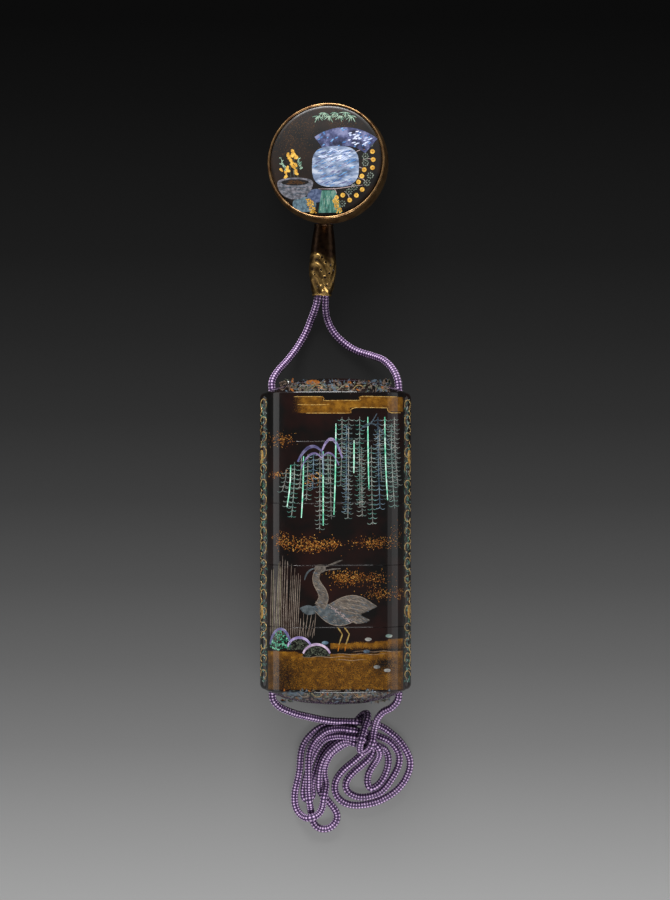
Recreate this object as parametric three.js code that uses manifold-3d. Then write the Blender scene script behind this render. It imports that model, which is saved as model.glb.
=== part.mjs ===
// An inro lying on its back: a lid and four cases of lacquered wood that stack into one flat oval box, strung on one
// silk cord. The cord runs down a bore in each side of the stack and is tied below it, where the spare length is
// folded into two hanks. Above the stack both runs pass through a metal bead, the ojime, and end in a knot inside a
// round toggle, the netsuke.
//
// Millimetres. +X runs across the case, +Y along it towards the toggle, and +Z up from the surface that it lies on.
// The origin is on that surface, under the middle of the case.

import * as THREE from "three";
import { mergeVertices } from "three/addons/utils/BufferGeometryUtils.js";
import Module from "manifold-3d";

const wasm = await Module();
wasm.setup();

// ---- The stack of cases ----
const CASE_HALF_WIDTH = 20.4; // of the oval alone, without the ridges at its sides
const CASE_DEPTH = 23;
const CASE_OVAL_POWER = 2.4; // 2 is an ellipse, and more is squarer
const REST_CUT = 0.2; // taken off the curved back, so that it lies on a flat band
const CASE_AXIS_Z = CASE_DEPTH / 2 - REST_CUT;
const RIDGE_CREST = 21.9; // from the middle of the case to the crest of the ridge that holds the cord
const RIDGE_RADIUS = 3.3;
const RIDGE_SHOULDER = 1.9; // length over which a ridge rounds off at each end of the stack
const EDGE_ROUND = 0.5;
const DOME_RISE = 4;
const DOME_POWER = 2.8; // 2 is a paraboloid, and more is flatter on top

const LID_LENGTH = 14.2;
const TIER_LENGTH = 17.8;
const TIER_COUNT = 3;
const BOTTOM_LENGTH = 18.8;
const STACK_LENGTH = LID_LENGTH + TIER_COUNT * TIER_LENGTH + BOTTOM_LENGTH;
const STACK_TOP = STACK_LENGTH / 2;
const STACK_BOTTOM = -STACK_LENGTH / 2;
const SEAM_GAP = 0.12;

// Ovals inside the stack, each as [half width, half depth].
const CAVITY = [15.1, 8.9];
const RISER = [15.9, 9.7]; // the lip on each case, which enters the piece above
const RECESS = [16.1, 9.9];
const RISER_LENGTH = 5;
const RECESS_LENGTH = 5.3;
const WALL = 1.7; // at the floors and under the domes
const BORE_X = 18.4;
const BORE_RADIUS = 1.5;

const BODY_STEPS = 10; // facets in a quarter of the oval
const RIDGE_STEPS = 3; // facets in half a ridge
const CAVITY_STEPS = 32;
const BORE_SIDES = 12;
const DOME_SIZES = [0.88, 0.7, 0.46, 0.2];

// ---- The toggle ----
const BOWL_RADIUS = 17.6;
const BOWL_HEIGHT = 12;
const BOWL_BACK_RADIUS = 9.5; // the flat that it rests on
const BOWL_FLOOR = 3;
const BOWL_RIM_OUTER = 17.1;
const BOWL_RIM_INNER = 16.45;
const BOWL_SEAT = 10.2; // height of the ledge that carries the plate
const BOWL_WALL = 2.2;
const BOWL_HOLE_RADIUS = 3.3;
const BOWL_FLARE = 2.8; // how far the hole's mouth rounds out, and up
const PLATE_RADIUS = 16.2;
const PLATE_THICKNESS = 1.4;
const PLATE_GAP = 0.3; // between the plate and its ledge
const NETSUKE_PLACE = [-1, 108.4];
const NETSUKE_TILT = THREE.MathUtils.degToRad(12); // the cord under its near right side props it up
const NETSUKE_RAISED = THREE.MathUtils.degToRad(-45); // the side that is propped up
const NETSUKE_SIDES = 36;

// ---- The bead ----
const BEAD_LENGTH = 21;
const BEAD_RADIUS = 3.95;
const BEAD_WIDEST = -0.18; // where it is widest, from -1 at its lower end to 1 at its upper end
const BEAD_END_RADIUS = 2.85;
const BEAD_BORE_RADIUS = 2.4;
const BEAD_RIM = 0.5;
const BEAD_PLACE = [-3.7, 81.9];
const BEAD_TURN = THREE.MathUtils.degToRad(-1.7);
const BEAD_SIDES = 20;
const BEAD_STATIONS = 10;

// ---- The cord ----
const CORD_RADIUS = 1.05;
const CORD_SIDES = 8;
const HANK_HEIGHT = 4.2;
const HANK_ROUND = 1;
const TIE_HEIGHT = 6.6;
const TIE_CLEARANCE = [1.07, 1.1]; // how much wider and longer than the tie the hanks' cutter is
const END_KNOT_RADIUS = 4;
const END_KNOT_HEIGHT = 5;

// Each run starts inside the toggle, and passes through the bead, down its side of the stack and on to the tie.
const LEFT_RUN = [
  [-2.5, 107.3, 5.1], [-2.5, 107, 3.8], [-2.5, 106.1, 2.4], [-2.6, 104.7, 1.5], [-2.8, 103, 1.15],
  [-3.2, 100.8, 1.1], [-3.8, 97.2, 1.6], [-4.3, 94.6, 3.2], [-4.47, 92, 3.9], [-4.78, 82, 3.9], [-5.09, 71.8, 3.9],
  [-5.8, 68.2, 3], [-7.1, 64.7, 1.4], [-8.7, 60.7, 1.1], [-11.3, 56.2, 2], [-14.2, 52.3, 5],
  [-16.9, 49.1, 8.8], [-18.4, 46.2, 10.8], [-BORE_X, 43, CASE_AXIS_Z], [-BORE_X, 14, CASE_AXIS_Z],
  [-BORE_X, -14, CASE_AXIS_Z], [-BORE_X, -43.6, CASE_AXIS_Z], [-18.2, -46.2, 11], [-16.3, -48.4, 10.2],
  [-13.4, -49.7, 8.8], [-10, -50.6, 7.2], [-6, -51.6, 6.2], [-1, -52.7, 5.6], [4.6, -53.4, 5.5],
];
const RIGHT_RUN = [
  [-0.35, 107.2, 5.4], [-0.35, 106.9, 4.1], [-0.35, 106, 2.8], [-0.45, 104.6, 1.85], [-0.65, 103, 1.45],
  [-1, 100.8, 1.2], [-1.6, 97.2, 1.6], [-2.1, 94.6, 3.2], [-2.31, 92, 3.9], [-2.62, 82, 3.9], [-2.93, 71.8, 3.9],
  [-3, 68, 2.9], [-2.4, 64.7, 1.4], [-0.6, 60.9, 1.1], [2.5, 57.7, 1.1], [6.2, 55.4, 1.6], [10.4, 54, 3.2],
  [13.9, 52.6, 6], [16.4, 50.2, 8.6], [17.9, 47.2, 10.6], [BORE_X, 44, CASE_AXIS_Z], [BORE_X, 14, CASE_AXIS_Z],
  [BORE_X, -14, CASE_AXIS_Z], [BORE_X, -43.6, CASE_AXIS_Z], [18.2, -46, 11], [16.3, -48.2, 10.2],
  [13.6, -49.6, 9], [11, -50.8, 7.8],
];

// Outlines of the folded length, seen from above.
const TIE_OUTLINE = [
  [8.2, -49.4], [9.9, -50.6], [10.3, -53], [14.2, -55], [14.8, -56.8], [12.6, -58.1], [9.6, -58.4], [6.9, -59.9],
  [5.2, -61.6], [2.6, -61.6], [1.3, -59.8], [2.6, -57.2], [5.2, -55], [6.1, -52.6], [6.6, -50.6],
];
const TIE_MIDDLE = [7.6, -56.6];
const LEFT_HANK_OUTLINE = [
  [8, -53], [1, -53], [-4, -53.2], [-8.2, -55.4], [-10.7, -59.2], [-11.5, -64], [-12, -69.4], [-13.1, -73.6],
  [-13.1, -78.4], [-11, -81.8], [-7.6, -84.4], [-3.6, -86.2], [0, -84.4], [1.9, -81], [0.6, -78.2], [-2.2, -75.4],
  [-2.5, -68], [-1.9, -64], [1.4, -60.4], [8, -58],
];
const RIGHT_HANK_OUTLINE = [
  [8, -53.4], [12.2, -53.2], [15.4, -54.2], [18.2, -56.8], [20.6, -59.6], [22.6, -62.2], [23.4, -65.2],
  [22.7, -68.4], [21.2, -71.2], [18.6, -74.4], [14.9, -76.8], [10.2, -78.2], [5.4, -78.9], [1.4, -77.8],
  [-1, -75], [-1.5, -71.6], [-0.5, -68.9], [1.8, -66.2], [5, -63.8], [7.9, -61.1], [8, -57],
];
const RIGHT_HANK_OPENING = [[8.7, -67.2], [6.6, -68.5], [5, -70.4], [4.9, -72.4], [6.6, -73.7], [9, -73.6], [8.9, -70.4]];

const colour = (hex) => new THREE.Color(hex);
const materials = {
  lacquer: new THREE.MeshStandardMaterial({ color: colour("#150b08"), roughness: 0.18, metalness: 0 }),
  rim: new THREE.MeshStandardMaterial({ color: colour("#7a4a1c"), roughness: 0.35, metalness: 0.4 }),
  plate: new THREE.MeshStandardMaterial({ color: colour("#2a1810"), roughness: 0.2, metalness: 0 }),
  bead: new THREE.MeshStandardMaterial({ color: colour("#6f5630"), roughness: 0.4, metalness: 0.9 }),
  silk: new THREE.MeshStandardMaterial({ color: colour("#6b4679"), roughness: 0.8, metalness: 0 }),
};

// ---- Solids ----

// A closed geometry as a solid that can be joined and cut.
function solidOf(geometry) {
  const bare = geometry.clone();
  for (const name of Object.keys(bare.attributes)) {
    if (name !== "position") bare.deleteAttribute(name);
  }
  const merged = mergeVertices(bare, 1e-4);
  return new wasm.Manifold(
    new wasm.Mesh({
      numProp: 3,
      vertProperties: new Float32Array(merged.attributes.position.array),
      triVerts: new Uint32Array(merged.index.array),
    }),
  );
}

function geometryOf(solid) {
  const mesh = solid.getMesh();
  const geometry = new THREE.BufferGeometry();
  geometry.setAttribute("position", new THREE.BufferAttribute(mesh.vertProperties, mesh.numProp));
  geometry.setIndex(new THREE.BufferAttribute(mesh.triVerts, 1));
  geometry.computeVertexNormals();
  return geometry;
}

function part(name, geometry, material) {
  const mesh = new THREE.Mesh(geometry, material);
  mesh.name = name;
  return mesh;
}

// A point of the oval |x / a|^n + |z / b|^n = 1.
function ovalPoint(a, b, angle) {
  const squared = (t) => Math.sign(t) * Math.abs(t) ** (2 / CASE_OVAL_POWER);
  return [a * squared(Math.cos(angle)), b * squared(Math.sin(angle))];
}

// A plug of oval section round the axis of the case, whose ends may dome outwards by so many millimetres.
function plug([a, b], from, to, domeFrom = 0, domeTo = 0) {
  const outline = (size) => {
    const points = [];
    for (let i = 0; i < CAVITY_STEPS; i++) {
      const [x, z] = ovalPoint(a * size, b * size, (i / CAVITY_STEPS) * 2 * Math.PI);
      points.push([x, CASE_AXIS_Z + z]);
    }
    return points;
  };
  const rings = [{ y: from, outline: outline(1) }, { y: to, outline: outline(1) }];
  for (const size of DOME_SIZES) {
    const rise = 1 - size ** DOME_POWER;
    if (domeFrom) rings.unshift({ y: from - domeFrom * rise, outline: outline(size) });
    if (domeTo) rings.push({ y: to + domeTo * rise, outline: outline(size) });
  }
  return solidOf(loft(rings));
}

// The outline of the case: an oval, scaled by size, with a round ridge out to `crest` at each side, and flat on its
// back. Its points go round from the crest at +X by way of +Z.
function caseOutline(size, crest) {
  const a = size * CASE_HALF_WIDTH;
  const b = (size * CASE_DEPTH) / 2;
  const middle = crest - RIDGE_RADIUS;
  let inside = 0;
  let outside = Math.PI / 2;
  while (outside - inside > 1e-6) {
    const angle = (inside + outside) / 2;
    const [x, z] = ovalPoint(a, b, angle);
    if (Math.hypot(x - middle, z) < RIDGE_RADIUS) inside = angle;
    else outside = angle;
  }
  const [grooveX, grooveZ] = ovalPoint(a, b, outside);
  const grooveAngle = Math.atan2(grooveZ, grooveX - middle);
  const quarter = [];
  for (let i = 0; i < RIDGE_STEPS; i++) {
    const angle = (i / RIDGE_STEPS) * grooveAngle;
    quarter.push([middle + RIDGE_RADIUS * Math.cos(angle), RIDGE_RADIUS * Math.sin(angle)]);
  }
  for (let i = 0; i <= BODY_STEPS; i++) {
    quarter.push(ovalPoint(a, b, outside + (i / BODY_STEPS) * (Math.PI / 2 - outside)));
  }
  const half = [...quarter, ...quarter.slice(0, -1).reverse().map(([x, z]) => [-x, z])];
  const whole = [...half, ...half.slice(1, -1).reverse().map(([x, z]) => [x, -z])];
  return whole.map(([x, z]) => [x, CASE_AXIS_Z + Math.max(z, REST_CUT - CASE_DEPTH / 2)]);
}

// The skin over a row of outlines, each { y, outline }, closed by a fan at each end.
function loft(rings) {
  const count = rings[0].outline.length;
  const positions = [];
  const index = [];
  for (const { y, outline } of rings) {
    for (const [x, z] of outline) positions.push(x, y, z);
  }
  positions.push(0, rings[0].y, CASE_AXIS_Z);
  positions.push(0, rings.at(-1).y, CASE_AXIS_Z);
  const first = rings.length * count;
  const last = first + 1;
  for (let i = 0; i < count; i++) {
    const next = (i + 1) % count;
    for (let k = 0; k + 1 < rings.length; k++) {
      const low = k * count;
      const high = low + count;
      index.push(low + i, high + i, high + next, low + i, high + next, low + next);
    }
    index.push(first, i, next);
    index.push(last, last - 1 - count + next, last - 1 - count + i);
  }
  const geometry = new THREE.BufferGeometry();
  geometry.setAttribute("position", new THREE.Float32BufferAttribute(positions, 3));
  geometry.setIndex(index);
  return geometry;
}

// The rings of a domed end at `end`, which faces +Y or -Y: the ridges round off, the edge is eased, the dome rises.
function domedEnd(end, facing) {
  const rings = [];
  const add = (back, size, crest) => rings.push({ y: end - facing * back, outline: caseOutline(size, crest) });
  const eased = 1 - EDGE_ROUND / CASE_HALF_WIDTH;
  const flush = CASE_HALF_WIDTH + 0.05; // a crest that hardly stands out of the oval
  for (const share of [0, 0.5, 0.85]) {
    const reach = (RIDGE_CREST - flush) * Math.sqrt(1 - share ** 2);
    add(RIDGE_SHOULDER - share * (RIDGE_SHOULDER - EDGE_ROUND), 1, flush + reach);
  }
  add(EDGE_ROUND * 0.9, 1, flush);
  add(0, eased, flush - EDGE_ROUND);
  for (const size of DOME_SIZES) {
    add(-DOME_RISE * (1 - size ** DOME_POWER), size * eased, size * (flush - EDGE_ROUND));
  }
  return rings;
}

// Takes the two cord bores out of a piece of the stack.
function bored(solid, from, to) {
  for (const side of [-1, 1]) {
    const bore = new THREE.CylinderGeometry(BORE_RADIUS, BORE_RADIUS, to - from, BORE_SIDES);
    solid = solid.subtract(solidOf(bore.translate(side * BORE_X, (from + to) / 2, CASE_AXIS_Z)));
  }
  return solid;
}

function lid() {
  const bottom = STACK_TOP - LID_LENGTH;
  const skin = loft([{ y: bottom, outline: caseOutline(1, RIDGE_CREST) }, ...domedEnd(STACK_TOP, 1)]);
  const hollow = solidOf(skin).subtract(plug(RECESS, bottom - 1, STACK_TOP, 0, DOME_RISE - WALL));
  return geometryOf(bored(hollow, bottom - 1, STACK_TOP + DOME_RISE));
}

// A case from its outer solid and the plug that is its hollow. Its lip stands on `top`.
function hollowCase(outer, top, hollow) {
  return outer.add(plug(RISER, top - 1, top + RISER_LENGTH)).subtract(hollow);
}

function tier(bottom) {
  const top = bottom + TIER_LENGTH - SEAM_GAP;
  const outline = caseOutline(1, RIDGE_CREST);
  const outer = solidOf(loft([{ y: bottom, outline }, { y: top, outline }]));
  const hollow = plug(CAVITY, bottom + RECESS_LENGTH + WALL, top + RISER_LENGTH + 1);
  const tray = hollowCase(outer, top, hollow).subtract(plug(RECESS, bottom - 1, bottom + RECESS_LENGTH));
  return geometryOf(bored(tray, bottom - 1, top + 1));
}

function bottomCase() {
  const top = STACK_BOTTOM + BOTTOM_LENGTH - SEAM_GAP;
  const rings = [...domedEnd(STACK_BOTTOM, -1).reverse(), { y: top, outline: caseOutline(1, RIDGE_CREST) }];
  const hollow = plug(CAVITY, STACK_BOTTOM, top + RISER_LENGTH + 1, DOME_RISE - WALL);
  return geometryOf(bored(hollowCase(solidOf(loft(rings)), top, hollow), STACK_BOTTOM - DOME_RISE, top + 1));
}

// ---- The toggle: a turned bowl with a plate in its mouth ----

// Turns a profile of [radius, height] points about +Z.
function turned(profile, sides) {
  const points = profile.map(([r, h]) => new THREE.Vector2(r, h));
  return new THREE.LatheGeometry(points, sides).rotateX(Math.PI / 2);
}

function bowl() {
  const throat = BOWL_HOLE_RADIUS + BOWL_FLARE;
  const flare = [0, 0.25, 0.5, 0.75, 1].map((share) => {
    const angle = (share * Math.PI) / 2;
    return [throat - BOWL_FLARE * Math.cos(angle), BOWL_FLARE * (1 - Math.sin(angle))];
  });
  const profile = [
    [BOWL_HOLE_RADIUS, BOWL_FLOOR],
    ...flare,
    [BOWL_BACK_RADIUS, 0],
    [13.2, 0.9],
    [15.7, 2.6],
    [17.1, 4.8],
    [BOWL_RADIUS, 7.4],
    [BOWL_RADIUS - 0.1, 9.8],
    [BOWL_RIM_OUTER, BOWL_HEIGHT],
    [BOWL_RIM_INNER, BOWL_HEIGHT],
    [BOWL_RIM_INNER, BOWL_SEAT],
    [BOWL_RADIUS - BOWL_WALL, BOWL_SEAT],
    [BOWL_RADIUS - BOWL_WALL, 7.4],
    [13.4, 4.4],
    [10, BOWL_FLOOR],
    [BOWL_HOLE_RADIUS, BOWL_FLOOR],
  ];
  return turned(profile, NETSUKE_SIDES);
}

function plate() {
  const under = BOWL_SEAT + PLATE_GAP;
  const top = under + PLATE_THICKNESS;
  return turned([[0, under], [PLATE_RADIUS, under], [PLATE_RADIUS, top], [0, top]], NETSUKE_SIDES);
}

// The knot that keeps the cord from slipping out, which lies on the bowl's floor.
function endKnot() {
  const squash = END_KNOT_HEIGHT / 2 / END_KNOT_RADIUS;
  const middle = BOWL_FLOOR + 0.6 + END_KNOT_HEIGHT / 2;
  const ball = new THREE.SphereGeometry(END_KNOT_RADIUS, 12, 8).rotateX(Math.PI / 2);
  return ball.scale(1, 1, squash).translate(0, 0, middle);
}

function netsuke() {
  const group = new THREE.Group();
  group.add(part("netsuke_bowl", bowl(), materials.rim));
  group.add(part("netsuke_plate", plate(), materials.plate));
  group.add(part("cord_end_knot", endKnot(), materials.silk));
  const raised = new THREE.Vector3(Math.cos(NETSUKE_RAISED), Math.sin(NETSUKE_RAISED), 0);
  const hinge = new THREE.Vector3(raised.y, -raised.x, 0);
  group.quaternion.setFromAxisAngle(hinge, NETSUKE_TILT);
  group.position.set(...NETSUKE_PLACE, BOWL_BACK_RADIUS * Math.sin(NETSUKE_TILT));
  return group;
}

// ---- The bead: a barrel with a rim at each end ----
function bead() {
  const half = BEAD_LENGTH / 2;
  const waist = BEAD_END_RADIUS - 0.1;
  const profile = [[BEAD_BORE_RADIUS, -half], [BEAD_END_RADIUS, -half], [BEAD_END_RADIUS, BEAD_RIM - half]];
  for (let i = 0; i <= BEAD_STATIONS; i++) {
    const along = (2 * i) / BEAD_STATIONS - 1;
    const off = (along - BEAD_WIDEST) / (1 + Math.sign(along - BEAD_WIDEST) * -BEAD_WIDEST);
    profile.push([waist + (BEAD_RADIUS - waist) * (1 - off ** 2), along * (half - BEAD_RIM - 0.05)]);
  }
  profile.push([BEAD_END_RADIUS, half - BEAD_RIM], [BEAD_END_RADIUS, half], [BEAD_BORE_RADIUS, half]);
  profile.push([BEAD_BORE_RADIUS, -half]);
  const points = profile.map(([r, h]) => new THREE.Vector2(r, h));
  const flatUnderneath = Math.PI / BEAD_SIDES; // it lies on the middle of a facet
  const mesh = part("ojime_bead", new THREE.LatheGeometry(points, BEAD_SIDES, flatUnderneath), materials.bead);
  mesh.position.set(...BEAD_PLACE, BEAD_RADIUS * Math.cos(flatUnderneath));
  mesh.rotation.z = BEAD_TURN;
  return mesh;
}

// ---- The cord ----

// A smooth curve whose even steps go from point to point, so they are short in its bends and long where it is straight.
class Route extends THREE.CatmullRomCurve3 {
  getUtoTmapping(u) {
    return u;
  }
}

// A round tube through the points, with one step from each point to the next.
function run(points) {
  const curve = new Route(points.map((p) => new THREE.Vector3(...p)), false, "centripetal");
  const section = [];
  for (let i = 0; i < CORD_SIDES; i++) {
    const angle = (i / CORD_SIDES) * 2 * Math.PI;
    section.push(new THREE.Vector2(CORD_RADIUS * Math.cos(angle), CORD_RADIUS * Math.sin(angle)));
  }
  return new THREE.ExtrudeGeometry(new THREE.Shape(section), {
    steps: points.length - 1,
    extrudePath: curve,
  });
}

// A slab that lies on the surface, with a rounded edge all round. Its outline is a smooth curve through the points.
function slab(points, height, opening) {
  const closed = (list) => new THREE.SplineCurve([...list, list[0]].map(([x, y]) => new THREE.Vector2(x, y)));
  const shape = new THREE.Shape(closed(points).getPoints(points.length * 2));
  if (opening) shape.holes.push(new THREE.Path(closed(opening).getPoints(opening.length * 2)));
  return new THREE.ExtrudeGeometry(shape, {
    depth: height - 2 * HANK_ROUND,
    bevelThickness: HANK_ROUND,
    bevelSize: HANK_ROUND,
    bevelOffset: -HANK_ROUND,
    bevelSegments: 2,
  }).translate(0, 0, HANK_ROUND);
}

// A hank is the outer shape of its turns. It ends against the tie.
function hank(points, opening) {
  const [x, y] = TIE_MIDDLE;
  const cutter = slab(TIE_OUTLINE, TIE_HEIGHT).translate(-x, -y, -TIE_HEIGHT / 2);
  cutter.scale(...TIE_CLEARANCE, 1.2).translate(x, y, TIE_HEIGHT / 2);
  return geometryOf(solidOf(slab(points, HANK_HEIGHT, opening)).subtract(solidOf(cutter)));
}

const inro = new THREE.Group();
inro.add(part("case_lid", lid(), materials.lacquer));
for (let i = 0; i < TIER_COUNT; i++) {
  const bottom = STACK_TOP - LID_LENGTH - (i + 1) * TIER_LENGTH;
  inro.add(part(`case_tier_${i + 1}`, tier(bottom), materials.lacquer));
}
inro.add(part("case_bottom", bottomCase(), materials.lacquer));
inro.add(netsuke());
inro.add(bead());
inro.add(part("cord_left", run(LEFT_RUN), materials.silk));
inro.add(part("cord_right", run(RIGHT_RUN), materials.silk));
inro.add(part("cord_hank_left", hank(LEFT_HANK_OUTLINE), materials.silk));
inro.add(part("cord_hank_right", hank(RIGHT_HANK_OUTLINE, RIGHT_HANK_OPENING), materials.silk));
inro.add(part("cord_tie", slab(TIE_OUTLINE, TIE_HEIGHT), materials.silk));

export default inro;
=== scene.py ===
"""The looks of an inro: a stack of lacquered cases on one braided silk cord, with its metal bead and its round toggle.

Numbers in tables are millimetres in the row frame: +X across the case, +Y along it towards the toggle, +Z up.
"""

import math

import bmesh
import bpy
import numpy as np
from mathutils import Matrix, Vector
from mathutils.geometry import delaunay_2d_cdt

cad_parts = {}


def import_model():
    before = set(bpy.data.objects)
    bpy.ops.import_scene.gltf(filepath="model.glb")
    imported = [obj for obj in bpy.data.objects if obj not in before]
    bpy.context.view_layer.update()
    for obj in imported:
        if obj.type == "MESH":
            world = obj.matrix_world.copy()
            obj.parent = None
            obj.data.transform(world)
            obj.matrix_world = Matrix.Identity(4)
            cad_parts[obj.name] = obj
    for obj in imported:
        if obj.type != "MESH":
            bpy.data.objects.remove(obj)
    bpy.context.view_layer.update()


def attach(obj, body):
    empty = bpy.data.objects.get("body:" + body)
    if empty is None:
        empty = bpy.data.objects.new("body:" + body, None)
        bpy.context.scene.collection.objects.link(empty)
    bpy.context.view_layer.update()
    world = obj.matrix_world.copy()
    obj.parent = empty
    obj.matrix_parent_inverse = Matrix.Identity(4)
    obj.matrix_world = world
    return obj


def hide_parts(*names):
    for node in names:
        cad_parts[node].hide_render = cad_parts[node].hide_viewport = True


MM = 0.001

# ---- The stack of cases, as in the part's source ----
HALF_WIDTH = 20.4
HALF_DEPTH = 11.5
OVAL_POWER = 2.4
REST_CUT = 0.2
AXIS_Z = HALF_DEPTH - REST_CUT
RIDGE_CREST = 21.9
RIDGE_RADIUS = 3.3
RIDGE_SHOULDER = 1.9
FLUSH_CREST = HALF_WIDTH + 0.05
EDGE_ROUND = 0.5
EASED = 1 - EDGE_ROUND / HALF_WIDTH
DOME_RISE = 4.0
DOME_POWER = 2.8
STACK_END = 43.2
LID_LENGTH = 14.2
TIER_LENGTH = 17.8
SEAM_GAP = 0.12
SEAM_EASE = 0.03
CAVITY = (15.1, 8.9)
RISER = (15.9, 9.7)
RECESS = (16.1, 9.9)
RISER_LENGTH = 5.0
RECESS_LENGTH = 5.3
WALL = 1.7
BORE_X = 18.4
BORE_RADIUS = 1.5
RING_STEP = 0.5

# ---- The toggle ----
NETSUKE_PLACE = (-1.0, 108.4)
NETSUKE_TILT = math.radians(12)
NETSUKE_RAISED = math.radians(-45)
BOWL_BACK_RADIUS = 9.5
PLATE_RADIUS = 16.2
PLATE_UNDER = 10.5
PLATE_EDGE = 11.9
PLATE_CROWN = 0.5

# ---- The bead ----
BEAD_LENGTH = 21.0
BEAD_RADIUS = 3.95
BEAD_WIDEST = -0.18
BEAD_END_RADIUS = 2.85
BEAD_BORE_RADIUS = 2.4
BEAD_RIM = 0.5
BEAD_PLACE = (-3.7, 81.9)
BEAD_TURN = math.radians(-1.7)
BEAD_Z = 3.9

# ---- The cord ----
CORD_RADIUS = 1.05
BRAID_STRANDS = 6  # that lean each way round the cord
BRAID_PITCH = 0.82
BRAID_SIDES = 20
BRAID_STEP = 0.18
CORD_STEP = 1.05  # between the points that settle

# ---- The camera ----
LENS_PLACE = (-0.15, 26.4, 891.3)
LENS_FOCAL = 121.4
SENSOR = 36.0


# ---- Small helpers ----


def srgb(code):
    """The linear colour of a hex code."""
    parts = [int(code[i : i + 2], 16) / 255 for i in (1, 3, 5)]
    return [p / 12.92 if p <= 0.04045 else ((p + 0.055) / 1.055) ** 2.4 for p in parts] + [1.0]


def under_lens(points):
    """Points drawn on the plane through the axis of the case, moved along the camera's lines of sight to their own z."""
    points = np.asarray(points, float)
    centre = np.array(LENS_PLACE[:2])
    scale = (LENS_PLACE[2] - points[:, 2:]) / (LENS_PLACE[2] - AXIS_Z)
    return np.hstack([centre + (points[:, :2] - centre) * scale, points[:, 2:]])


def piece(name, points, faces, materials, slots=None, smooth=True):
    """A mesh object from points in mm and a list of faces."""
    mesh = bpy.data.meshes.new(name)
    mesh.from_pydata((np.asarray(points, float) * MM).tolist(), [], faces)
    for material in materials:
        mesh.materials.append(material)
    if slots is not None:
        mesh.polygons.foreach_set("material_index", np.asarray(slots, np.int32))
    mesh.polygons.foreach_set("use_smooth", np.full(len(mesh.polygons), smooth))
    mesh.update()
    made = bpy.data.objects.new(name, mesh)
    bpy.context.scene.collection.objects.link(made)
    return made


def sharpen(obj, degrees):
    obj.data.set_sharp_from_angle(angle=math.radians(degrees))


def spline(points, step):
    """Points every `step` mm or so along a smooth curve through the given ones."""
    p = np.asarray(points, float)
    p = np.vstack([2 * p[0] - p[1], p, 2 * p[-1] - p[-2]])
    knots = np.concatenate([[0], np.cumsum(np.sqrt(np.linalg.norm(np.diff(p, axis=0), axis=1)) + 1e-9)])
    t = np.concatenate([np.linspace(knots[i], knots[i + 1], 24, endpoint=False) for i in range(1,
        len(p) - 2)] + [[knots[-2]]])
    i = np.clip(np.searchsorted(knots, t, side="right") - 1, 1, len(p) - 3)
    k = [knots[i + o][:, None] for o in (-1, 0, 1, 2)]
    q = [p[i + o] for o in (-1, 0, 1, 2)]
    t = t[:, None]

    def mix(a, b, ta, tb):
        return ((tb - t) * a + (t - ta) * b) / (tb - ta)

    a1, a2, a3 = (mix(q[j], q[j + 1], k[j], k[j + 1]) for j in range(3))
    b1, b2 = mix(a1, a2, k[0], k[2]), mix(a2, a3, k[1], k[3])
    return even(mix(b1, b2, k[1], k[2]), step)


def even(line, step):
    """The same line with its points evenly spaced."""
    along = np.concatenate([[0], np.cumsum(np.linalg.norm(np.diff(line, axis=0), axis=1))])
    count = max(2, int(round(along[-1] / step)) + 1)
    at = np.linspace(0, along[-1], count)
    return np.stack([np.interp(at, along, line[:, k]) for k in range(line.shape[1])], -1)


# ---- Materials ----


class Finish:
    """A material under construction: nodes are added by type, and wired by name."""

    def __init__(self, name):
        self.material = bpy.data.materials.new(name)
        self.material.use_nodes = True
        self.tree = self.material.node_tree
        self.shader = self.tree.nodes["Principled BSDF"]

    def add(self, kind, inputs=None, **settings):
        node = self.tree.nodes.new(kind)
        for key, value in settings.items():
            setattr(node, key, value)
        for key, value in (inputs or {}).items():
            self.put(node, key, value)
        return node

    def put(self, node, key, value):
        if isinstance(value, bpy.types.NodeSocket):
            self.tree.links.new(value, node.inputs[key])
        else:
            node.inputs[key].default_value = value

    def set(self, **values):
        for key, value in values.items():
            self.put(self.shader, key.replace("_", " "), value)

    def math(self, operation, *values):
        node = self.add("ShaderNodeMath", operation=operation)
        for i, value in enumerate(values):
            self.put(node, i, value)
        return node.outputs[0]

    def blend(self, factor, a, b, mode="MIX"):
        node = self.add("ShaderNodeMix", data_type="RGBA", blend_type=mode)
        self.put(node, 0, factor)
        self.put(node, 6, a)
        self.put(node, 7, b)
        return node.outputs[2]

    def ramp(self, factor, *stops):
        """A ramp through (position, colour or number) stops."""
        node = self.add("ShaderNodeValToRGB", {"Fac": factor})
        points = node.color_ramp.elements
        while len(points) < len(stops):
            points.new(0.5)
        for point, (position, value) in zip(points, stops):
            point.position = position
            point.color = value if isinstance(value, list) else [value] * 3 + [1]
        return node.outputs[0]

    def place(self, scale=1.0):
        """The object's own coordinates in mm, times `scale`."""
        coordinates = self.add("ShaderNodeTexCoord").outputs["Object"]
        return self.add("ShaderNodeVectorMath", {0: coordinates, "Scale": scale / MM}, operation="SCALE").outputs[0]

    def noise(self, scale, detail=2.0, roughness=0.5, vector=None):
        """Noise with `scale` waves a millimetre."""
        vector = vector or self.place()
        node = self.add("ShaderNodeTexNoise",
            {"Vector": vector, "Scale": scale, "Detail": detail, "Roughness": roughness})
        return node.outputs["Fac"]

    def attribute(self, name):
        return self.add("ShaderNodeAttribute", attribute_name=name).outputs["Fac"]

    def bump(self, height, strength, distance):
        node = self.add("ShaderNodeBump", {"Height": height, "Strength": strength, "Distance": distance * MM})
        self.set(Normal=node.outputs[0])


# ---- The stack of cases ----


def oval_radius(angle, a, b):
    """The distance from the axis to the oval with half axes a and b, at that angle."""
    return ((np.abs(np.cos(angle)) / a) ** OVAL_POWER + (np.abs(np.sin(angle)) / b) ** OVAL_POWER) ** (-1 / OVAL_POWER)


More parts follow.
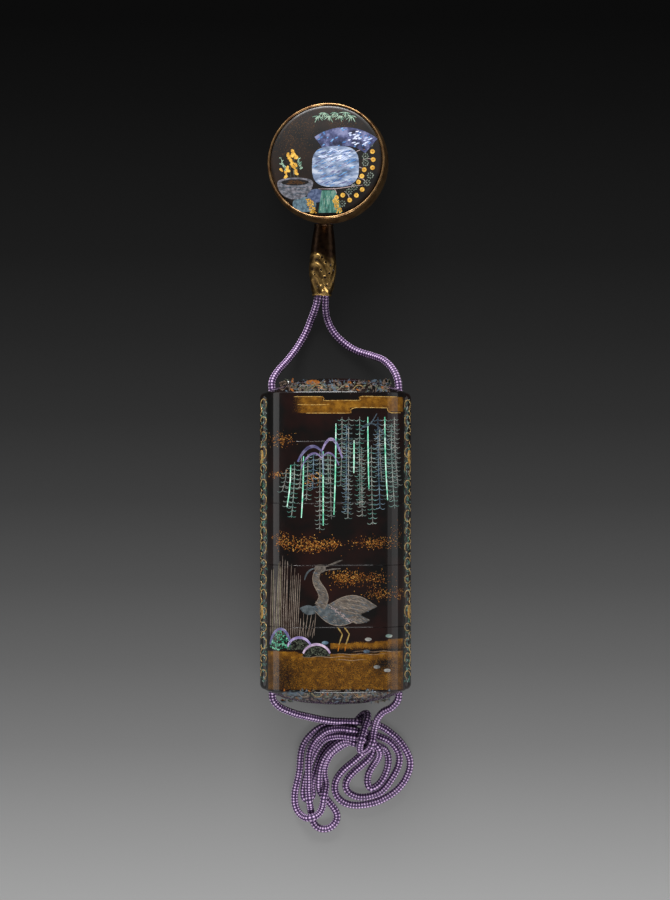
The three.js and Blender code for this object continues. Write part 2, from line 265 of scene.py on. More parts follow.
def case_outline(size, crest):
    """The outline of the case round its axis: the larger of the oval and of the round ridge at each side, so that
    the two meet in a groove, with a flat on the back. Its points go round from +X by way of +Z."""
    middle = crest - RIDGE_RADIUS
    angle = OUTLINE_ANGLES
    oval = oval_radius(angle, HALF_WIDTH * size, HALF_DEPTH * size)
    across = middle * np.abs(np.cos(angle))
    inside = RIDGE_RADIUS**2 - middle**2 + across**2
    ridge = np.where(inside > 0, across + np.sqrt(np.maximum(inside, 0)), 0)
    radius = np.maximum(oval, ridge)
    x, z = radius * np.cos(angle), radius * np.sin(angle)
    return np.stack([x, np.maximum(z, -HALF_DEPTH + REST_CUT)], -1)


def outline_angles():
    """Angles round the axis that space the outline's points evenly."""
    fine = np.linspace(0, math.pi / 2, 4000)
    r = oval_radius(fine, HALF_WIDTH, HALF_DEPTH)
    line = np.stack([r * np.cos(fine), r * np.sin(fine)], -1)
    along = np.concatenate([[0], np.cumsum(np.linalg.norm(np.diff(line, axis=0), axis=1))])
    quarter = np.interp(np.linspace(0, along[-1], 61), along, fine)
    half = np.concatenate([quarter, math.pi - quarter[-2::-1]])
    return np.concatenate([half, math.pi + half[1:-1]])


OUTLINE_ANGLES = outline_angles()


def end_size(off):
    """The oval's size and the ridge's crest at `off` mm from the stack's end, positive beyond it."""
    if off >= 0:
        size = max(0.0, 1 - off / DOME_RISE) ** (1 / DOME_POWER) * EASED
        return size, size * (FLUSH_CREST - EDGE_ROUND)
    ease = min(1.0, -off / EDGE_ROUND)
    size = EASED + (1 - EASED) * math.sqrt(1 - (1 - ease) ** 2)
    share = min(1.0, max(0.0, (RIDGE_SHOULDER + off) / (RIDGE_SHOULDER - EDGE_ROUND * 0.5)))
    crest = FLUSH_CREST + (RIDGE_CREST - FLUSH_CREST) * math.sqrt(1 - share**2)
    return size, crest - EDGE_ROUND * (1 - ease) ** 2


def oval_ring(half_axes, y):
    radius = oval_radius(OUTLINE_ANGLES, *half_axes)
    x, z = radius * np.cos(OUTLINE_ANGLES), radius * np.sin(OUTLINE_ANGLES)
    return np.stack([x, np.full_like(x, y), z + AXIS_Z], -1)


def outer_ring(y, size=1.0, crest=RIDGE_CREST):
    outline = case_outline(size, crest)
    return np.stack([outline[:, 0], np.full(len(outline), y), outline[:, 1] + AXIS_Z], -1)


def walls(low, high):
    """Outer rings of a plain stretch of the case, with its edges eased."""
    ease = 1 - SEAM_EASE / HALF_WIDTH
    steps = int(round((high - low) / RING_STEP))
    rings = [outer_ring(low, ease, RIDGE_CREST - SEAM_EASE)]
    rings += [outer_ring(y) for y in np.linspace(low + SEAM_EASE, high - SEAM_EASE, steps)]
    return rings + [outer_ring(high, ease, RIDGE_CREST - SEAM_EASE)]


def end_rings():
    """Outer rings from the shoulder of the ridges to the top of the dome, at the upper end."""
    rings = []
    for off in [-1.9, -1.7, -1.45, -1.2, -1.0, -0.82, -0.66, -0.5, -0.4, -0.3, -0.2, -0.12, -0.05]:
        rings.append(outer_ring(STACK_END + off, *end_size(off)))
    for size in [1, 0.985, 0.965, 0.94, 0.91, 0.875, 0.835, 0.79, 0.74, 0.68, 0.61, 0.53, 0.44, 0.34, 0.23, 0.11]:
        rings.append(outer_ring(STACK_END + DOME_RISE * (1 - size**DOME_POWER), size * EASED,
            size * (FLUSH_CREST - EDGE_ROUND)))
    return rings


def skin(rings, ends):
    """A closed skin over a chain of rings, with a fan to a point at each of its two ends."""
    count = len(rings[0])
    points = np.vstack([*rings, [ends[0]], [ends[1]]])
    i = np.arange(count)
    after = (i + 1) % count
    faces = []
    for k in range(len(rings) - 1):
        low, high = k * count, (k + 1) * count
        faces += np.stack([low + i, high + i, high + after, low + after], -1).tolist()
    first, last = len(points) - 2, len(points) - 1
    top = (len(rings) - 1) * count
    faces += np.stack([np.full(count, first), i, after], -1).tolist()
    faces += np.stack([np.full(count, last), top + after, top + i], -1).tolist()
    return points, faces


def inner_dome(half_axes, y, rise, facing):
    """Rings of a hollow's domed end, from its rim to near its middle."""
    rings = []
    for size in [1, 0.94, 0.85, 0.72, 0.56, 0.38, 0.18]:
        ring = oval_ring([size * h for h in half_axes], y + facing * rise * (1 - size**DOME_POWER))
        rings.append(ring)
    return rings


def cases(lacquer):
    """The five pieces of the stack, each a closed skin: from the middle of its recess or dome, round its outside and
    over its lip to the middle of its hollow."""
    made = []
    bottom = STACK_END - LID_LENGTH
    rise = DOME_RISE - WALL
    rings = inner_dome(RECESS, STACK_END, rise, 1)[::-1] + [oval_ring(RECESS, bottom)]
    straight = walls(bottom, STACK_END - RIDGE_SHOULDER)[:-1]
    rings += straight + end_rings()
    middle = [(0, STACK_END + rise, AXIS_Z), (0, STACK_END + DOME_RISE, AXIS_Z)]
    made.append(("case_lid", *skin(rings, middle)))
    for k in range(3):
        top = bottom - SEAM_GAP
        bottom -= TIER_LENGTH
        rings = [oval_ring(RECESS, bottom + RECESS_LENGTH), oval_ring(RECESS, bottom)]
        rings += walls(bottom, top)
        rings += [oval_ring(RISER, top), oval_ring(RISER, top + RISER_LENGTH), oval_ring(CAVITY, top + RISER_LENGTH)]
        floor = bottom + RECESS_LENGTH + WALL
        rings.append(oval_ring(CAVITY, floor))
        made.append((f"case_tier_{k + 1}", *skin(rings, [(0, bottom + RECESS_LENGTH, AXIS_Z), (0, floor, AXIS_Z)])))
    top = bottom - SEAM_GAP
    lower = [ring * [1, -1, 1] for ring in end_rings()][::-1]
    rings = lower + walls(RIDGE_SHOULDER - STACK_END, top)[1:]
    rings += [oval_ring(RISER, top), oval_ring(RISER, top + RISER_LENGTH), oval_ring(CAVITY, top + RISER_LENGTH)]
    rings += inner_dome(CAVITY, -STACK_END, rise, -1)
    made.append(("case_bottom", *skin(rings, [(0, -STACK_END - DOME_RISE, AXIS_Z), (0, -STACK_END - rise, AXIS_Z)])))

    cutter = bores()
    pieces = []
    for name, points, faces in made:
        obj = piece(name + "_lacquer", points, faces, [lacquer])
        cut = obj.modifiers.new("bores", "BOOLEAN")
        cut.operation, cut.solver, cut.object = "DIFFERENCE", "EXACT", cutter
        graph = bpy.context.evaluated_depsgraph_get()
        whole = bpy.data.meshes.new_from_object(obj.evaluated_get(graph))
        obj.modifiers.clear()
        obj.data = whole
        sharpen(obj, 32)
        dust_attribute(obj)
        pieces.append(obj)
        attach(obj, "root")
        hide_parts(name)
    bpy.data.objects.remove(cutter)
    return pieces


def bores():
    """The two cord bores, as one cutter."""
    angle = np.linspace(0, 2 * math.pi, 48, endpoint=False)
    points, faces = [], []
    reach = STACK_END + DOME_RISE + 1
    for side in (-1, 1):
        start = len(points)
        for y in (-reach, reach):
            points += [(side * BORE_X + BORE_RADIUS * math.cos(a), y,
                AXIS_Z + BORE_RADIUS * math.sin(a)) for a in angle]
        n = len(angle)
        faces += [(start + i, start + n + i, start + n + (i + 1) % n, start + (i + 1) % n) for i in range(n)]
        faces.append(tuple(start + i for i in range(n)))
        faces.append(tuple(start + 2 * n - 1 - i for i in range(n)))
    cutter = piece("bore_cutter", points, faces, [])
    cutter.hide_render = True
    return cutter


def dust_attribute(obj):
    """Stores on each point how much gold dust lies in the lacquer there."""
    mesh = obj.data
    points = np.empty(len(mesh.vertices) * 3, np.float32)
    mesh.vertices.foreach_get("co", points)
    points = points.reshape(-1, 3) / MM
    amount = np.where(points[:, 2] > AXIS_Z, dust(*drawn_from(points)), 0.0)
    mesh.attributes.new("dust", "FLOAT", "POINT").data.foreach_set("value", amount.astype(np.float32))


def drawn_from(points):
    """Where points of the case lie in the drawing that is laid on it."""
    scale = (LENS_PLACE[2] - AXIS_Z) / (LENS_PLACE[2] - points[:, 2])
    return [LENS_PLACE[k] + (points[:, k] - LENS_PLACE[k]) * scale for k in (0, 1)]


def soft_step(value, low, high):
    t = np.clip((value - low) / (high - low), 0, 1)
    return t * t * (3 - 2 * t)


def cloudlet(x, y, cx, cy, rx, ry):
    """A soft oval patch."""
    return np.exp(-(((x - cx) / rx) ** 2 + ((y - cy) / ry) ** 2) * 1.4)


DUST_BANDS = [
    # middle, half length, half height, how thick
    (-15.5, 29.6, 4.6, 2.0, 0.34), (-16.4, 19.3, 2.8, 1.2, 0.3), (-6.7, 18.2, 2.2, 2.0, 0.3),
    (-15, 0.2, 3.2, 2.2, 0.4), (-7.6, -1.2, 7.5, 2.2, 0.62), (-1, -0.6, 3.4, 2.0, 0.5), (11, -0.6, 5.6, 1.6, 0.6),
    (17.4, -0.8, 3, 1.6, 0.5),
    (1, -10.8, 3.6, 2.2, 0.72), (6.5, -10.8, 6, 1.9, 0.62), (12, -10.6, 4, 1.6, 0.35),
    (12.6, -15.3, 5.2, 1.6, 0.5), (18.4, -15.2, 2.4, 2.2, 0.45),
]


def dust(x, y):
    """How much gold dust lies in the lacquer at a point of the drawing: mist, cloud and ground."""
    amount = np.zeros_like(x)
    for cx, cy, rx, ry, most in DUST_BANDS:
        amount = np.maximum(amount, 0.6 * most * cloudlet(x, y, cx, cy, rx, ry))
    left_fade = soft_step(x, -15, -7)
    top = np.where(x < -3.6, 41.85, np.where(x < 7, 40.8, 41.8))
    under = np.where(x < 4.2, 37.2, np.where(x < 15.2, 38.7, 37.4))
    cloud = soft_step(y, under - 0.1, under + 0.1) * (1 - soft_step(y, top - 0.1, top + 0.1)) * left_fade
    amount = np.maximum(amount, 0.93 * cloud)
    shore = -31.7 + 0.1 * np.sin(x * 0.6) - 0.8 * soft_step(x, -14, -9) - 0.1 * soft_step(x, 0,
        6) + 1.0 * soft_step(x, 9, 20)
    ground = 1 - soft_step(y, shore - 0.15, shore + 0.05)
    depth = soft_step(shore - y, 0, 3.0)
    ground = ground * (0.86 - 0.26 * depth) * (1 - 0.35 * cloudlet(x, y, -14.5, -40, 4, 6)) * (1 - 0.5 * cloudlet(x,
        y, 13.5, -35.6, 3.4, 2))
    amount = np.maximum(amount, ground)
    far = np.where(x > -1.6, 1.0, 0.0) * soft_step(y, -32.0,
        -31.0 - 0 * x) * (1 - soft_step(y, far_shore(x) - 0.15, far_shore(x) + 0.05))
    amount = np.maximum(amount, far * (0.85 - 0.35 * soft_step(far_shore(x) - y, 0.3, 2.4)))
    return amount * (1 - soft_step(np.abs(x), 19.5, 19.8)) * (1 - soft_step(np.abs(y), 43.0, 43.3))


def far_shore(x):
    return -29.6 + 0.35 * soft_step(x, 0, 6) + 1.1 * soft_step(x, 10, 19)


# ---- The toggle ----


def netsuke_frame():
    """The matrix that tilts the toggle about the edge of its flat back, away from the cord under its near side."""
    raised = Vector((math.cos(NETSUKE_RAISED), math.sin(NETSUKE_RAISED), 0))
    hinge = Vector((raised.y, -raised.x, 0))
    place = Matrix.Translation((*NETSUKE_PLACE, BOWL_BACK_RADIUS * math.sin(NETSUKE_TILT)))
    return np.array(place @ Matrix.Rotation(NETSUKE_TILT, 4, hinge))


def moved(points, matrix):
    points = np.asarray(points, float)
    return points @ matrix[:3, :3].T + matrix[:3, 3]


def lathe(profile, sides, closed=True):
    """A profile of (radius, height) points turned about +Z. Its ends close on the axis, or on each other."""
    profile = np.asarray(profile, float)
    angle = np.linspace(0, 2 * math.pi, sides, endpoint=False)
    ring = np.stack([np.cos(angle), np.sin(angle)], -1)
    points = np.concatenate([np.column_stack([ring * r, np.full(sides, h)]) for r, h in profile])
    i = np.arange(sides)
    after = (i + 1) % sides
    faces = []
    rows = len(profile)
    for k in range(rows if closed else rows - 1):
        low, high = k * sides, ((k + 1) % rows) * sides
        faces += np.stack([low + i, low + after, high + after, high + i], -1).tolist()
    if not closed:
        points = np.vstack([points, [(0, 0, profile[0, 1])], [(0, 0, profile[-1, 1])]])
        last = (rows - 1) * sides
        faces += np.stack([np.full(sides, len(points) - 2), after, i], -1).tolist()
        faces += np.stack([np.full(sides, len(points) - 1), last + i, last + after], -1).tolist()
    return points, faces


def netsuke(rim, plate):
    """A turned bowl with rounded shoulders, a lip like a thin ring, and a slightly crowned plate let into its mouth."""
    frame = netsuke_frame()
    flare = [(6.1 - 2.8 * math.cos(a), 2.8 * (1 - math.sin(a))) for a in np.linspace(0, math.pi / 2, 12)]
    side = spline([(9.5, 0, 0), (11.6, 0.46, 0), (13.2, 0.9, 0), (15.7, 2.6, 0), (17.1, 4.8, 0), (17.6, 7.4, 0),
        (17.5, 9.8, 0), (17.2, 11.3, 0)], 0.35)[:, :2]
    lip = [(17.18 - 0.36 + 0.36 * math.cos(a), 11.64 + 0.36 * math.sin(a)) for a in np.linspace(0.1, math.pi - 0.1,
        9)]
    inner = [(16.46, 11.2), (16.45, 10.2), (15.4, 10.2), (15.4, 7.4), (13.4, 4.4), (10, 3)]
    points, faces = lathe(flare + side.tolist() + lip + inner, 144)
    bowl = piece("netsuke_bowl_turned", moved(points, frame), faces, [rim])
    sharpen(bowl, 40)
    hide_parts("netsuke_bowl")

    crown = [(PLATE_RADIUS * s, PLATE_EDGE + PLATE_CROWN * (1 - s**2)) for s in np.linspace(0.985, 0.04, 28)]
    points, faces = lathe([(PLATE_RADIUS - 0.15, PLATE_UNDER), (PLATE_RADIUS, PLATE_UNDER + 0.15),
        (PLATE_RADIUS, PLATE_EDGE - 0.1)] + crown, 144, closed=False)
    disc = piece("netsuke_plate_lacquer", moved(points, frame), faces, [plate])
    sharpen(disc, 50)
    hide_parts("netsuke_plate")
    for obj in (bowl, disc):
        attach(obj, "root")


# ---- The bead ----


def bead(bronze):
    """A barrel turned about its own length, with rims. Scrolls, leaves and small hollows stand in low relief on
    its lower part, and fade out towards its plain upper end. The hollows, cut only 0.3 mm deep, are coloured near
    black: painted shade."""
    half = BEAD_LENGTH / 2
    waist = BEAD_END_RADIUS - 0.1
    rows, sides = 260, 200
    y = np.linspace(BEAD_RIM - half + 0.02, half - BEAD_RIM - 0.02, rows)
    along = y / half
    off = (along - BEAD_WIDEST) / (1 - np.sign(along - BEAD_WIDEST) * BEAD_WIDEST)
    radius = waist + (BEAD_RADIUS - waist) * (1 - off**2)
    angle = np.linspace(0, 2 * math.pi, sides, endpoint=False)
    lift, pit = bead_relief(angle[None, :], y[:, None])
    r = radius[:, None] + lift - 0.16
    body = np.stack([r * np.sin(angle), np.repeat(y[:, None], sides, 1), r * np.cos(angle)], -1)

    def ring(r, y):
        return np.stack([r * np.sin(angle), np.full(sides, y), r * np.cos(angle)], -1)[None]

    bore, end = BEAD_BORE_RADIUS, BEAD_END_RADIUS
    low = [ring(bore, -half + 0.1), ring(bore + 0.1, -half), ring(end - 0.12, -half), ring(end, -half + 0.12),
        ring(end, -half + BEAD_RIM - 0.1), ring(end - 0.1, -half + BEAD_RIM)]
    high = [g * [1, -1, 1] for g in low][::-1]
    grid = np.concatenate([*low, body, *high])
    marks = np.zeros(grid.shape[:2])
    marks[len(low) : -len(high)] = lift
    dark = np.zeros(grid.shape[:2])
    dark[len(low) : -len(high)] = pit
    marks[: len(low)] = 0.1
    marks[-len(high) :] = 0.02
    n = len(grid)
    i = np.arange(sides)
    after = (i + 1) % sides
    faces = []
    for k in range(n):
        lower, upper = k * sides, ((k + 1) % n) * sides
        faces += np.stack([lower + i, lower + after, upper + after, upper + i], -1).tolist()
    turn = Matrix.Translation((*BEAD_PLACE, BEAD_Z)) @ Matrix.Rotation(BEAD_TURN, 4, "Z")
    obj = piece("ojime_bronze", moved(grid.reshape(-1, 3), np.array(turn)), faces, [bronze])
    for name, value in (("relief", marks), ("pit", dark)):
        obj.data.attributes.new(name, "FLOAT", "POINT").data.foreach_set("value", value.ravel().astype(np.float32))
    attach(obj, "root")
    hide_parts("ojime_bead")


BEAD_LINES = [
    # lines of scroll, each as points of (round the bead in mm, along it in mm)
    [(-5.2, 1.2), (-3.6, 1.5), (-1.6, 1.2), (-0.1, 0), (1.8, -2.6), (2.4, -5.4)],
    [(-4.2, -1.6), (-2.4, -1.2), (-0.6, -2.2), (0.6, -4.4)],
    [(-5.6, -4.2), (-3.4, -4.0), (-1.6, -5.2), (-0.6, -7.2)],
    [(3.6, -0.6), (2.9, -3.6), (1.6, -6.6), (0.2, -8.6)],
    [(5.2, -1.8), (4.6, -5), (3.2, -8)],
    [(0.2, -6.2), (1.2, -8), (2.6, -9.2)],
    [(-3.9, -6.2), (-2.9, -8), (-2.2, -9.4)],
    [(7.6, 0.6), (6.6, -2.4), (7.4, -5.4), (6.4, -8.4)],
    [(-7.8, 0.8), (-7, -2.6), (-8.2, -5.6), (-7.4, -8.8)],
    [(10.2, 0.2), (9.2, -3.6), (10.2, -7.6)],
    [(-10.2, -0.4), (-9.6, -4.2), (-10.6, -8.2)],
]
BEAD_HOLES = [(-0.3, 0.6), (-1.9, -0.1), (0.9, -0.8), (2.7, -1.6), (-0.5, -3), (2.2, -3.9), (-2.6, -4.3), (0.8, -5.2),
    (3.9, -3), (-3.8, -2.9), (4.2, -6.4), (1.6, -7.4), (-1.6, -7.9), (-4.6, -7), (6, -4), (-6.2, -3.4), (8.4, -2),
    (-8.8, -2.4), (11.4, -4.4), (-9.2, -6.6), (8.6, -6.4)]


def bead_relief(angle, y):
    """The height of the relief, and how much of a hollow there is, at an angle from the top and a place along the bead."""
    shape = np.broadcast(angle, y).shape
    turn = (angle + math.pi) % (2 * math.pi) - math.pi
    x = np.broadcast_to(turn * BEAD_RADIUS, shape)
    y = np.broadcast_to(y, shape)
    lift = np.zeros(shape)
    for line in BEAD_LINES:
        path = spline([(*p, 0) for p in line], 0.35)[:, :2]
        near = np.full(shape, 9.0)
        for px, py in path:
            near = np.minimum(near, np.hypot(x - px, y - py))
        lift = np.maximum(lift, np.exp(-((near / 0.34) ** 2)) * 0.16 + np.exp(-((near / 0.9) ** 2)) * 0.08)
    pit = np.zeros(shape)
    for px, py in BEAD_HOLES:
        dx, dy = np.abs(x - px), y - py
        three = np.maximum(dx * 1.5 + dy * 0.8, -dy * 1.3)
        pit = np.maximum(pit, 1 - soft_step(three, 0.3, 0.5))
    zone = 1 - soft_step(y + 0.5 * np.sin(turn * 3), 0.8, 2.4)
    lift = lift * zone + 0.03 * zone
    return lift * (1 - pit) - 0.3 * pit * zone, pit * zone


# ---- The cord ----

# From inside the toggle, through the bead and down the left side of the case.
LEFT_RUN = [
    (-2.5, 107.3, 5.1), (-2.5, 107, 3.8), (-2.5, 106.1, 2.4), (-2.6, 104.7, 1.5), (-2.8, 103, 1.15),
    (-3.2, 100.8, 1.1), (-3.8, 97.2, 1.6), (-4.3, 94.6, 3.2), (-4.47, 92, 3.9), (-4.78, 82, 3.9), (-5.09, 71.8, 3.9),
    (-5.8, 68.2, 3), (-7.1, 64.7, 1.4), (-8.7, 60.7, 1.1), (-11.3, 56.2, 2), (-14.2, 52.3, 5),
    (-16.9, 49.1, 8.8), (-18.4, 46.2, 10.8), (-18.4, 43, 11.3), (-18.4, 14, 11.3), (-18.4, -14, 11.3),
    (-18.4, -43.6, 11.3),
]
# From inside the toggle, through the bead and down the right side of the case.
RIGHT_RUN = [
    (-0.35, 107.2, 5.4), (-0.35, 106.9, 4.1), (-0.35, 106, 2.8), (-0.45, 104.6, 1.85), (-0.65, 103, 1.45),
    (-1, 100.8, 1.2), (-1.6, 97.2, 1.6), (-2.1, 94.6, 3.2), (-2.31, 92, 3.9), (-2.62, 82, 3.9), (-2.93, 71.8, 3.9),
    (-3, 68, 2.9), (-2.4, 64.7, 1.4), (-0.6, 60.9, 1.1), (2.5, 57.7, 1.1), (6.2, 55.4, 1.6), (10.4, 54, 3.2),
    (13.9, 52.6, 6), (16.4, 50.2, 8.6), (17.9, 47.2, 10.6), (18.4, 44, 11.3), (18.4, 14, 11.3), (18.4, -14, 11.3),
    (18.4, -43.6, 11.3),
]
# The folded length below the case, from the left bore to the right one, as drawn from above.
LOW = 1.05
SPARE = [
    (-18.4, -43.6, 11.3), (-18.1, -46, 11), (-16.3, -48, 10.2), (-13.4, -49.4, 8.8), (-10, -50.5, 7.2),
    (-6, -51.5, 6.1),
    (-1, -52.4, 5.3), (4, -52.7, 4.6), (8, -52.8, 3.6), (11.4, -53, 3.2),
    # first loop to the right
    (14.3, -54.2, 2.6), (17, -56.6, 2), (19.4, -59.2, 1.6), (21.1, -61.6, 1.2), (22, -64, LOW), (21.4, -66.9, LOW),
    (20.3, -69.3, LOW), (17.9, -72.3, LOW), (14.3, -74.6, LOW), (9.9, -76.1, LOW), (5.5, -76.8, LOW),
    (1.9, -75.8, LOW),
    (-0.2, -73.4, LOW), (-0.5, -70.8, LOW), (0.4, -68.4, LOW), (2.5, -66, LOW), (5.5, -63.7, LOW), (8.4, -61, 1.2),
    (9.8, -58.8, 1.6), (8.6, -56.6, 1.4), (6.2, -54.9, 1.3), (3.2, -53.8, 1.2),
    # first loop to the left
    (0.7, -53.1, LOW), (-2.8, -53.4, LOW), (-5.5, -54.8, LOW), (-7.9, -56.6, LOW), (-9.6, -59.2, LOW),
    (-10.2, -61.6, LOW),
    (-10.2, -65.7, LOW), (-10.7, -68.7, LOW), (-11.6, -71.4, LOW), (-12, -74.3, LOW), (-11.7, -77.3, LOW),
    (-9.9, -80, 2),
    (-7.3, -80.8, 3.4), (-4.9, -79.8, 3.2), (-3.6, -77.6, 3.1), (-3.4, -75.2, 3.1), (-3.7, -72.3, 2.4),
    (-3.9, -69.3, 1.4), (-3.6, -66.3, LOW), (-3.1, -64, LOW), (-1.9, -61.9, LOW), (-0.2, -60.1, LOW),
    (1.6, -58.6, LOW),
    (4, -57.8, 1.3), (8, -57.5, 2.2), (12, -57, 2.6),
    # second loop to the right
    (16.7, -58.1, 1.6), (18.5, -61, LOW), (18.8, -64, LOW), (17.6, -66.9, LOW), (15.8, -69.6, LOW), (14, -72, LOW),
    (9.9, -74.3, LOW), (6.1, -74.3, LOW), (3.7, -73.1, LOW), (2.5, -71.1, LOW), (3.4, -68.7, LOW), (5.5, -66.6, LOW),
    (8.4, -64.3, LOW), (10.8, -62.2, 1.4), (11.7, -60.4, 2.2), (10.5, -58, 3.2), (8, -56, 3.4), (4, -54.8, 3.2),
    # second loop to the left
    (-0.8, -54.2, 2.9), (-3.4, -55.1, 2.9), (-5.5, -57.2, 2.9), (-7, -59.8, 2.9), (-7.7, -62.8, 2.9),
    (-7.9, -65.7, 2.9),
    (-8, -68.7, 2.9), (-8, -71.7, 3), (-7.7, -74.6, 3.1), (-7.3, -77.6, 2), (-7, -80, 1.2), (-6.4, -82.3, LOW),
    (-4.6, -83.6, LOW), (-2.2, -83.6, LOW), (-0.2, -82.2, LOW), (0.9, -80, LOW), (0.1, -77.9, LOW),
    (-1.3, -76.4, LOW),
    (-2.8, -74.6, LOW), (-4.6, -72.3, 1.6), (-5.2, -69.3, 2.6), (-5, -66.9, 3), (-4.3, -64, 3), (-2.8, -61.6, 3),
    (-0.8, -59.5, 3), (1, -58.1, 3), (5, -57, 3.6), (11, -58.2, 3.6),
    # third loop to the right
    (14.6, -60.4, 2.4), (15.5, -62.8, 1.2), (15.2, -65.7, LOW), (13.7, -69.3, LOW), (12, -71.7, LOW),
    (10.5, -72.3, LOW),
    (9.3, -70.5, LOW), (9.3, -67.8, LOW), (10.5, -65.5, 1.2), (12.6, -63.1, 2.6), (13.2, -60.6, 4.2),
    (11.4, -58.4, 5),
    (8, -57.2, 5), (3.6, -56.4, 4.6), (-0.4, -56.6, 3.2),
    # third loop to the left, under the others
    (-3, -57.6, 1.4), (-5.2, -60.2, LOW), (-6, -63, LOW), (-7.4, -66.8, LOW), (-8.8, -70.5, LOW), (-9.4, -73.4, LOW),
    (-8.6, -75.4, LOW), (-7.2, -74.9, LOW), (-6.3, -73, LOW), (-6, -70.2, LOW), (-6.2, -66.8, LOW),
    (-5.4, -62.6, LOW),
    (-3, -59.4, LOW), (0.6, -57.6, 1.6), (3.6, -55.6, 2.6), (5.8, -53.2, 3), (7.2, -50.8, 2.6),
    # once round the folded length, then the doubled end tucked under that turn
    (8.9, -49.7, 3.4), (9.6, -50.8, 5.6), (8.6, -53.4, 7), (7.6, -56.8, 7.2), (6.9, -59.8, 5.6), (7.6, -61, 3.6),
    (9.6, -60.2, 3.6), (10.8, -57.6, 5.4), (11.2, -54.4, 6.8), (12, -51.8, 7.6),
    (13.8, -49.5, 9), (16.3, -48.2, 10.2), (18.1, -46, 11), (18.4, -43.6, 11.3),
]


def settled(path, home_pull):
    """The cord's points moved a little at a time until strands lie beside or on each other, not in each other.

    Each round smooths the line, lets it sag, pulls it back over its drawn place, and pushes apart any two points
    nearer than the cord's thickness that aren't neighbours along it. The two ends stay where they are."""
    points = path.copy()
    count = len(points)
    fixed = 12
    apart = np.abs(np.subtract.outer(np.arange(count), np.arange(count))) >= 4
    upper = np.triu(apart)
    inner = slice(fixed, count - fixed)
    span = np.linalg.norm(np.diff(path, axis=0), axis=1)
    for k in range(SETTLE_ROUNDS):
        middle = (points[:-2] + points[2:]) / 2
        stiff = points.copy()
        stiff[1:-1] += 0.22 * (middle - points[1:-1])
        stiff[:, :2] += home_pull * (path[:, :2] - stiff[:, :2])
        stiff[:, 2] -= 0.02
        points[inner] = stiff[inner]
        for _ in range(3):
            gap = points[:, None] - points[None]
            far = np.sqrt((gap**2).sum(-1))
            a, b = np.nonzero((far < 2.06 * CORD_RADIUS) & upper)
            d = far[a, b][:, None] + 1e-6
            push = 0.5 * (2.06 * CORD_RADIUS - d) * gap[a, b] / d
            move = np.zeros_like(points)
            hits = np.zeros((count, 1))
            np.add.at(move, a, push)
            np.add.at(move, b, -push)
            np.add.at(hits, a, 1)
            np.add.at(hits, b, 1)
            move /= np.maximum(1, hits * 0.6)
            points[inner] += move[inner]
            step = np.diff(points, axis=0)
            length = np.linalg.norm(step, axis=1)[:, None] + 1e-9
            fix = 0.3 * (1 - span[:, None] / length) * step
            points[fixed : count - fixed] += np.vstack([fix, [[0, 0, 0]]])[inner] - np.vstack([[[0, 0, 0]],
                fix])[inner]
            points[inner, 2] = np.maximum(points[inner, 2], CORD_RADIUS + 0.01)
    return points


SETTLE_ROUNDS = 90


def braid(name, line, silk, plain_spans):
    """A round braid along a line, with its strands in relief.

    Two families of strands lean opposite ways, so that at angle a and length s the first family's strands are counted
    by p = 6 a + s / pitch and the second's by q = 6 a - s / pitch, with a in turns. Where a strand of one family is on
    top it bulges: the height is |sin(pi p) sin(pi q)|. Inside the bores the rings are sparse."""
    along = np.concatenate([[0], np.cumsum(np.linalg.norm(np.diff(line, axis=0), axis=1))])
    at = np.arange(0, along[-1], BRAID_STEP)
    hidden = np.zeros(len(at), bool)
    for low, high in plain_spans:
        hidden |= (at > low) & (at < high)
    keep = ~hidden | (np.arange(len(at)) % 20 == 0)
    at = np.concatenate([at[keep], [along[-1]]])
    centre = np.stack([np.interp(at, along, line[:, k]) for k in range(3)], -1)
    for _ in range(2):
        centre[1:-1] = (centre[:-2] + 2 * centre[1:-1] + centre[2:]) / 4
    tangent = np.gradient(centre, axis=0)
    tangent /= np.linalg.norm(tangent, axis=1)[:, None]
    side = np.zeros_like(centre)
    current = np.cross(tangent[0], [0.3, 0.2, 0.9])
    for k in range(len(centre)):
        current = current - (current @ tangent[k]) * tangent[k]
        current = current / np.linalg.norm(current)
        side[k] = current
    other = np.cross(tangent, side)
    turn = np.arange(BRAID_SIDES) / BRAID_SIDES
    p = BRAID_STRANDS * turn[None] + at[:, None] / BRAID_PITCH
    q = BRAID_STRANDS * turn[None] - at[:, None] / BRAID_PITCH
    bulge = np.abs(np.sin(math.pi * p) * np.sin(math.pi * q))
    radius = CORD_RADIUS * (0.9 + 0.13 * np.sqrt(bulge))
    a = 2 * math.pi * turn
    rings = centre[:, None] + radius[...,
        None] * (np.cos(a)[None, :, None] * side[:, None] + np.sin(a)[None, :, None] * other[:, None])
    count = len(rings)
    i = np.arange(BRAID_SIDES)
    after = (i + 1) % BRAID_SIDES
    k = np.arange(count - 1)[:, None] * BRAID_SIDES
    quads = np.stack([k + i, k + after, k + BRAID_SIDES + after, k + BRAID_SIDES + i], -1).reshape(-1, 4)
    faces = quads.tolist()
    caps = [list(range(BRAID_SIDES))[::-1], [(count - 1) * BRAID_SIDES + j for j in range(BRAID_SIDES)]]
    obj = piece(name, rings.reshape(-1, 3), faces + caps, [silk])
    u = np.broadcast_to(np.stack([i, i + 1, i + 1, i], -1) / BRAID_SIDES, (count - 1, BRAID_SIDES, 4))
    v = np.stack([at[:-1], at[:-1], at[1:], at[1:]], -1)[:, None].repeat(BRAID_SIDES, 1)
    coordinates = np.concatenate([np.stack([u, v], -1).reshape(-1, 2), np.zeros((2 * BRAID_SIDES, 2))])
    layer = obj.data.uv_layers.new(name="braid")
    layer.data.foreach_set("uv", coordinates.astype(np.float32).ravel())
    return obj, centre, along[-1]


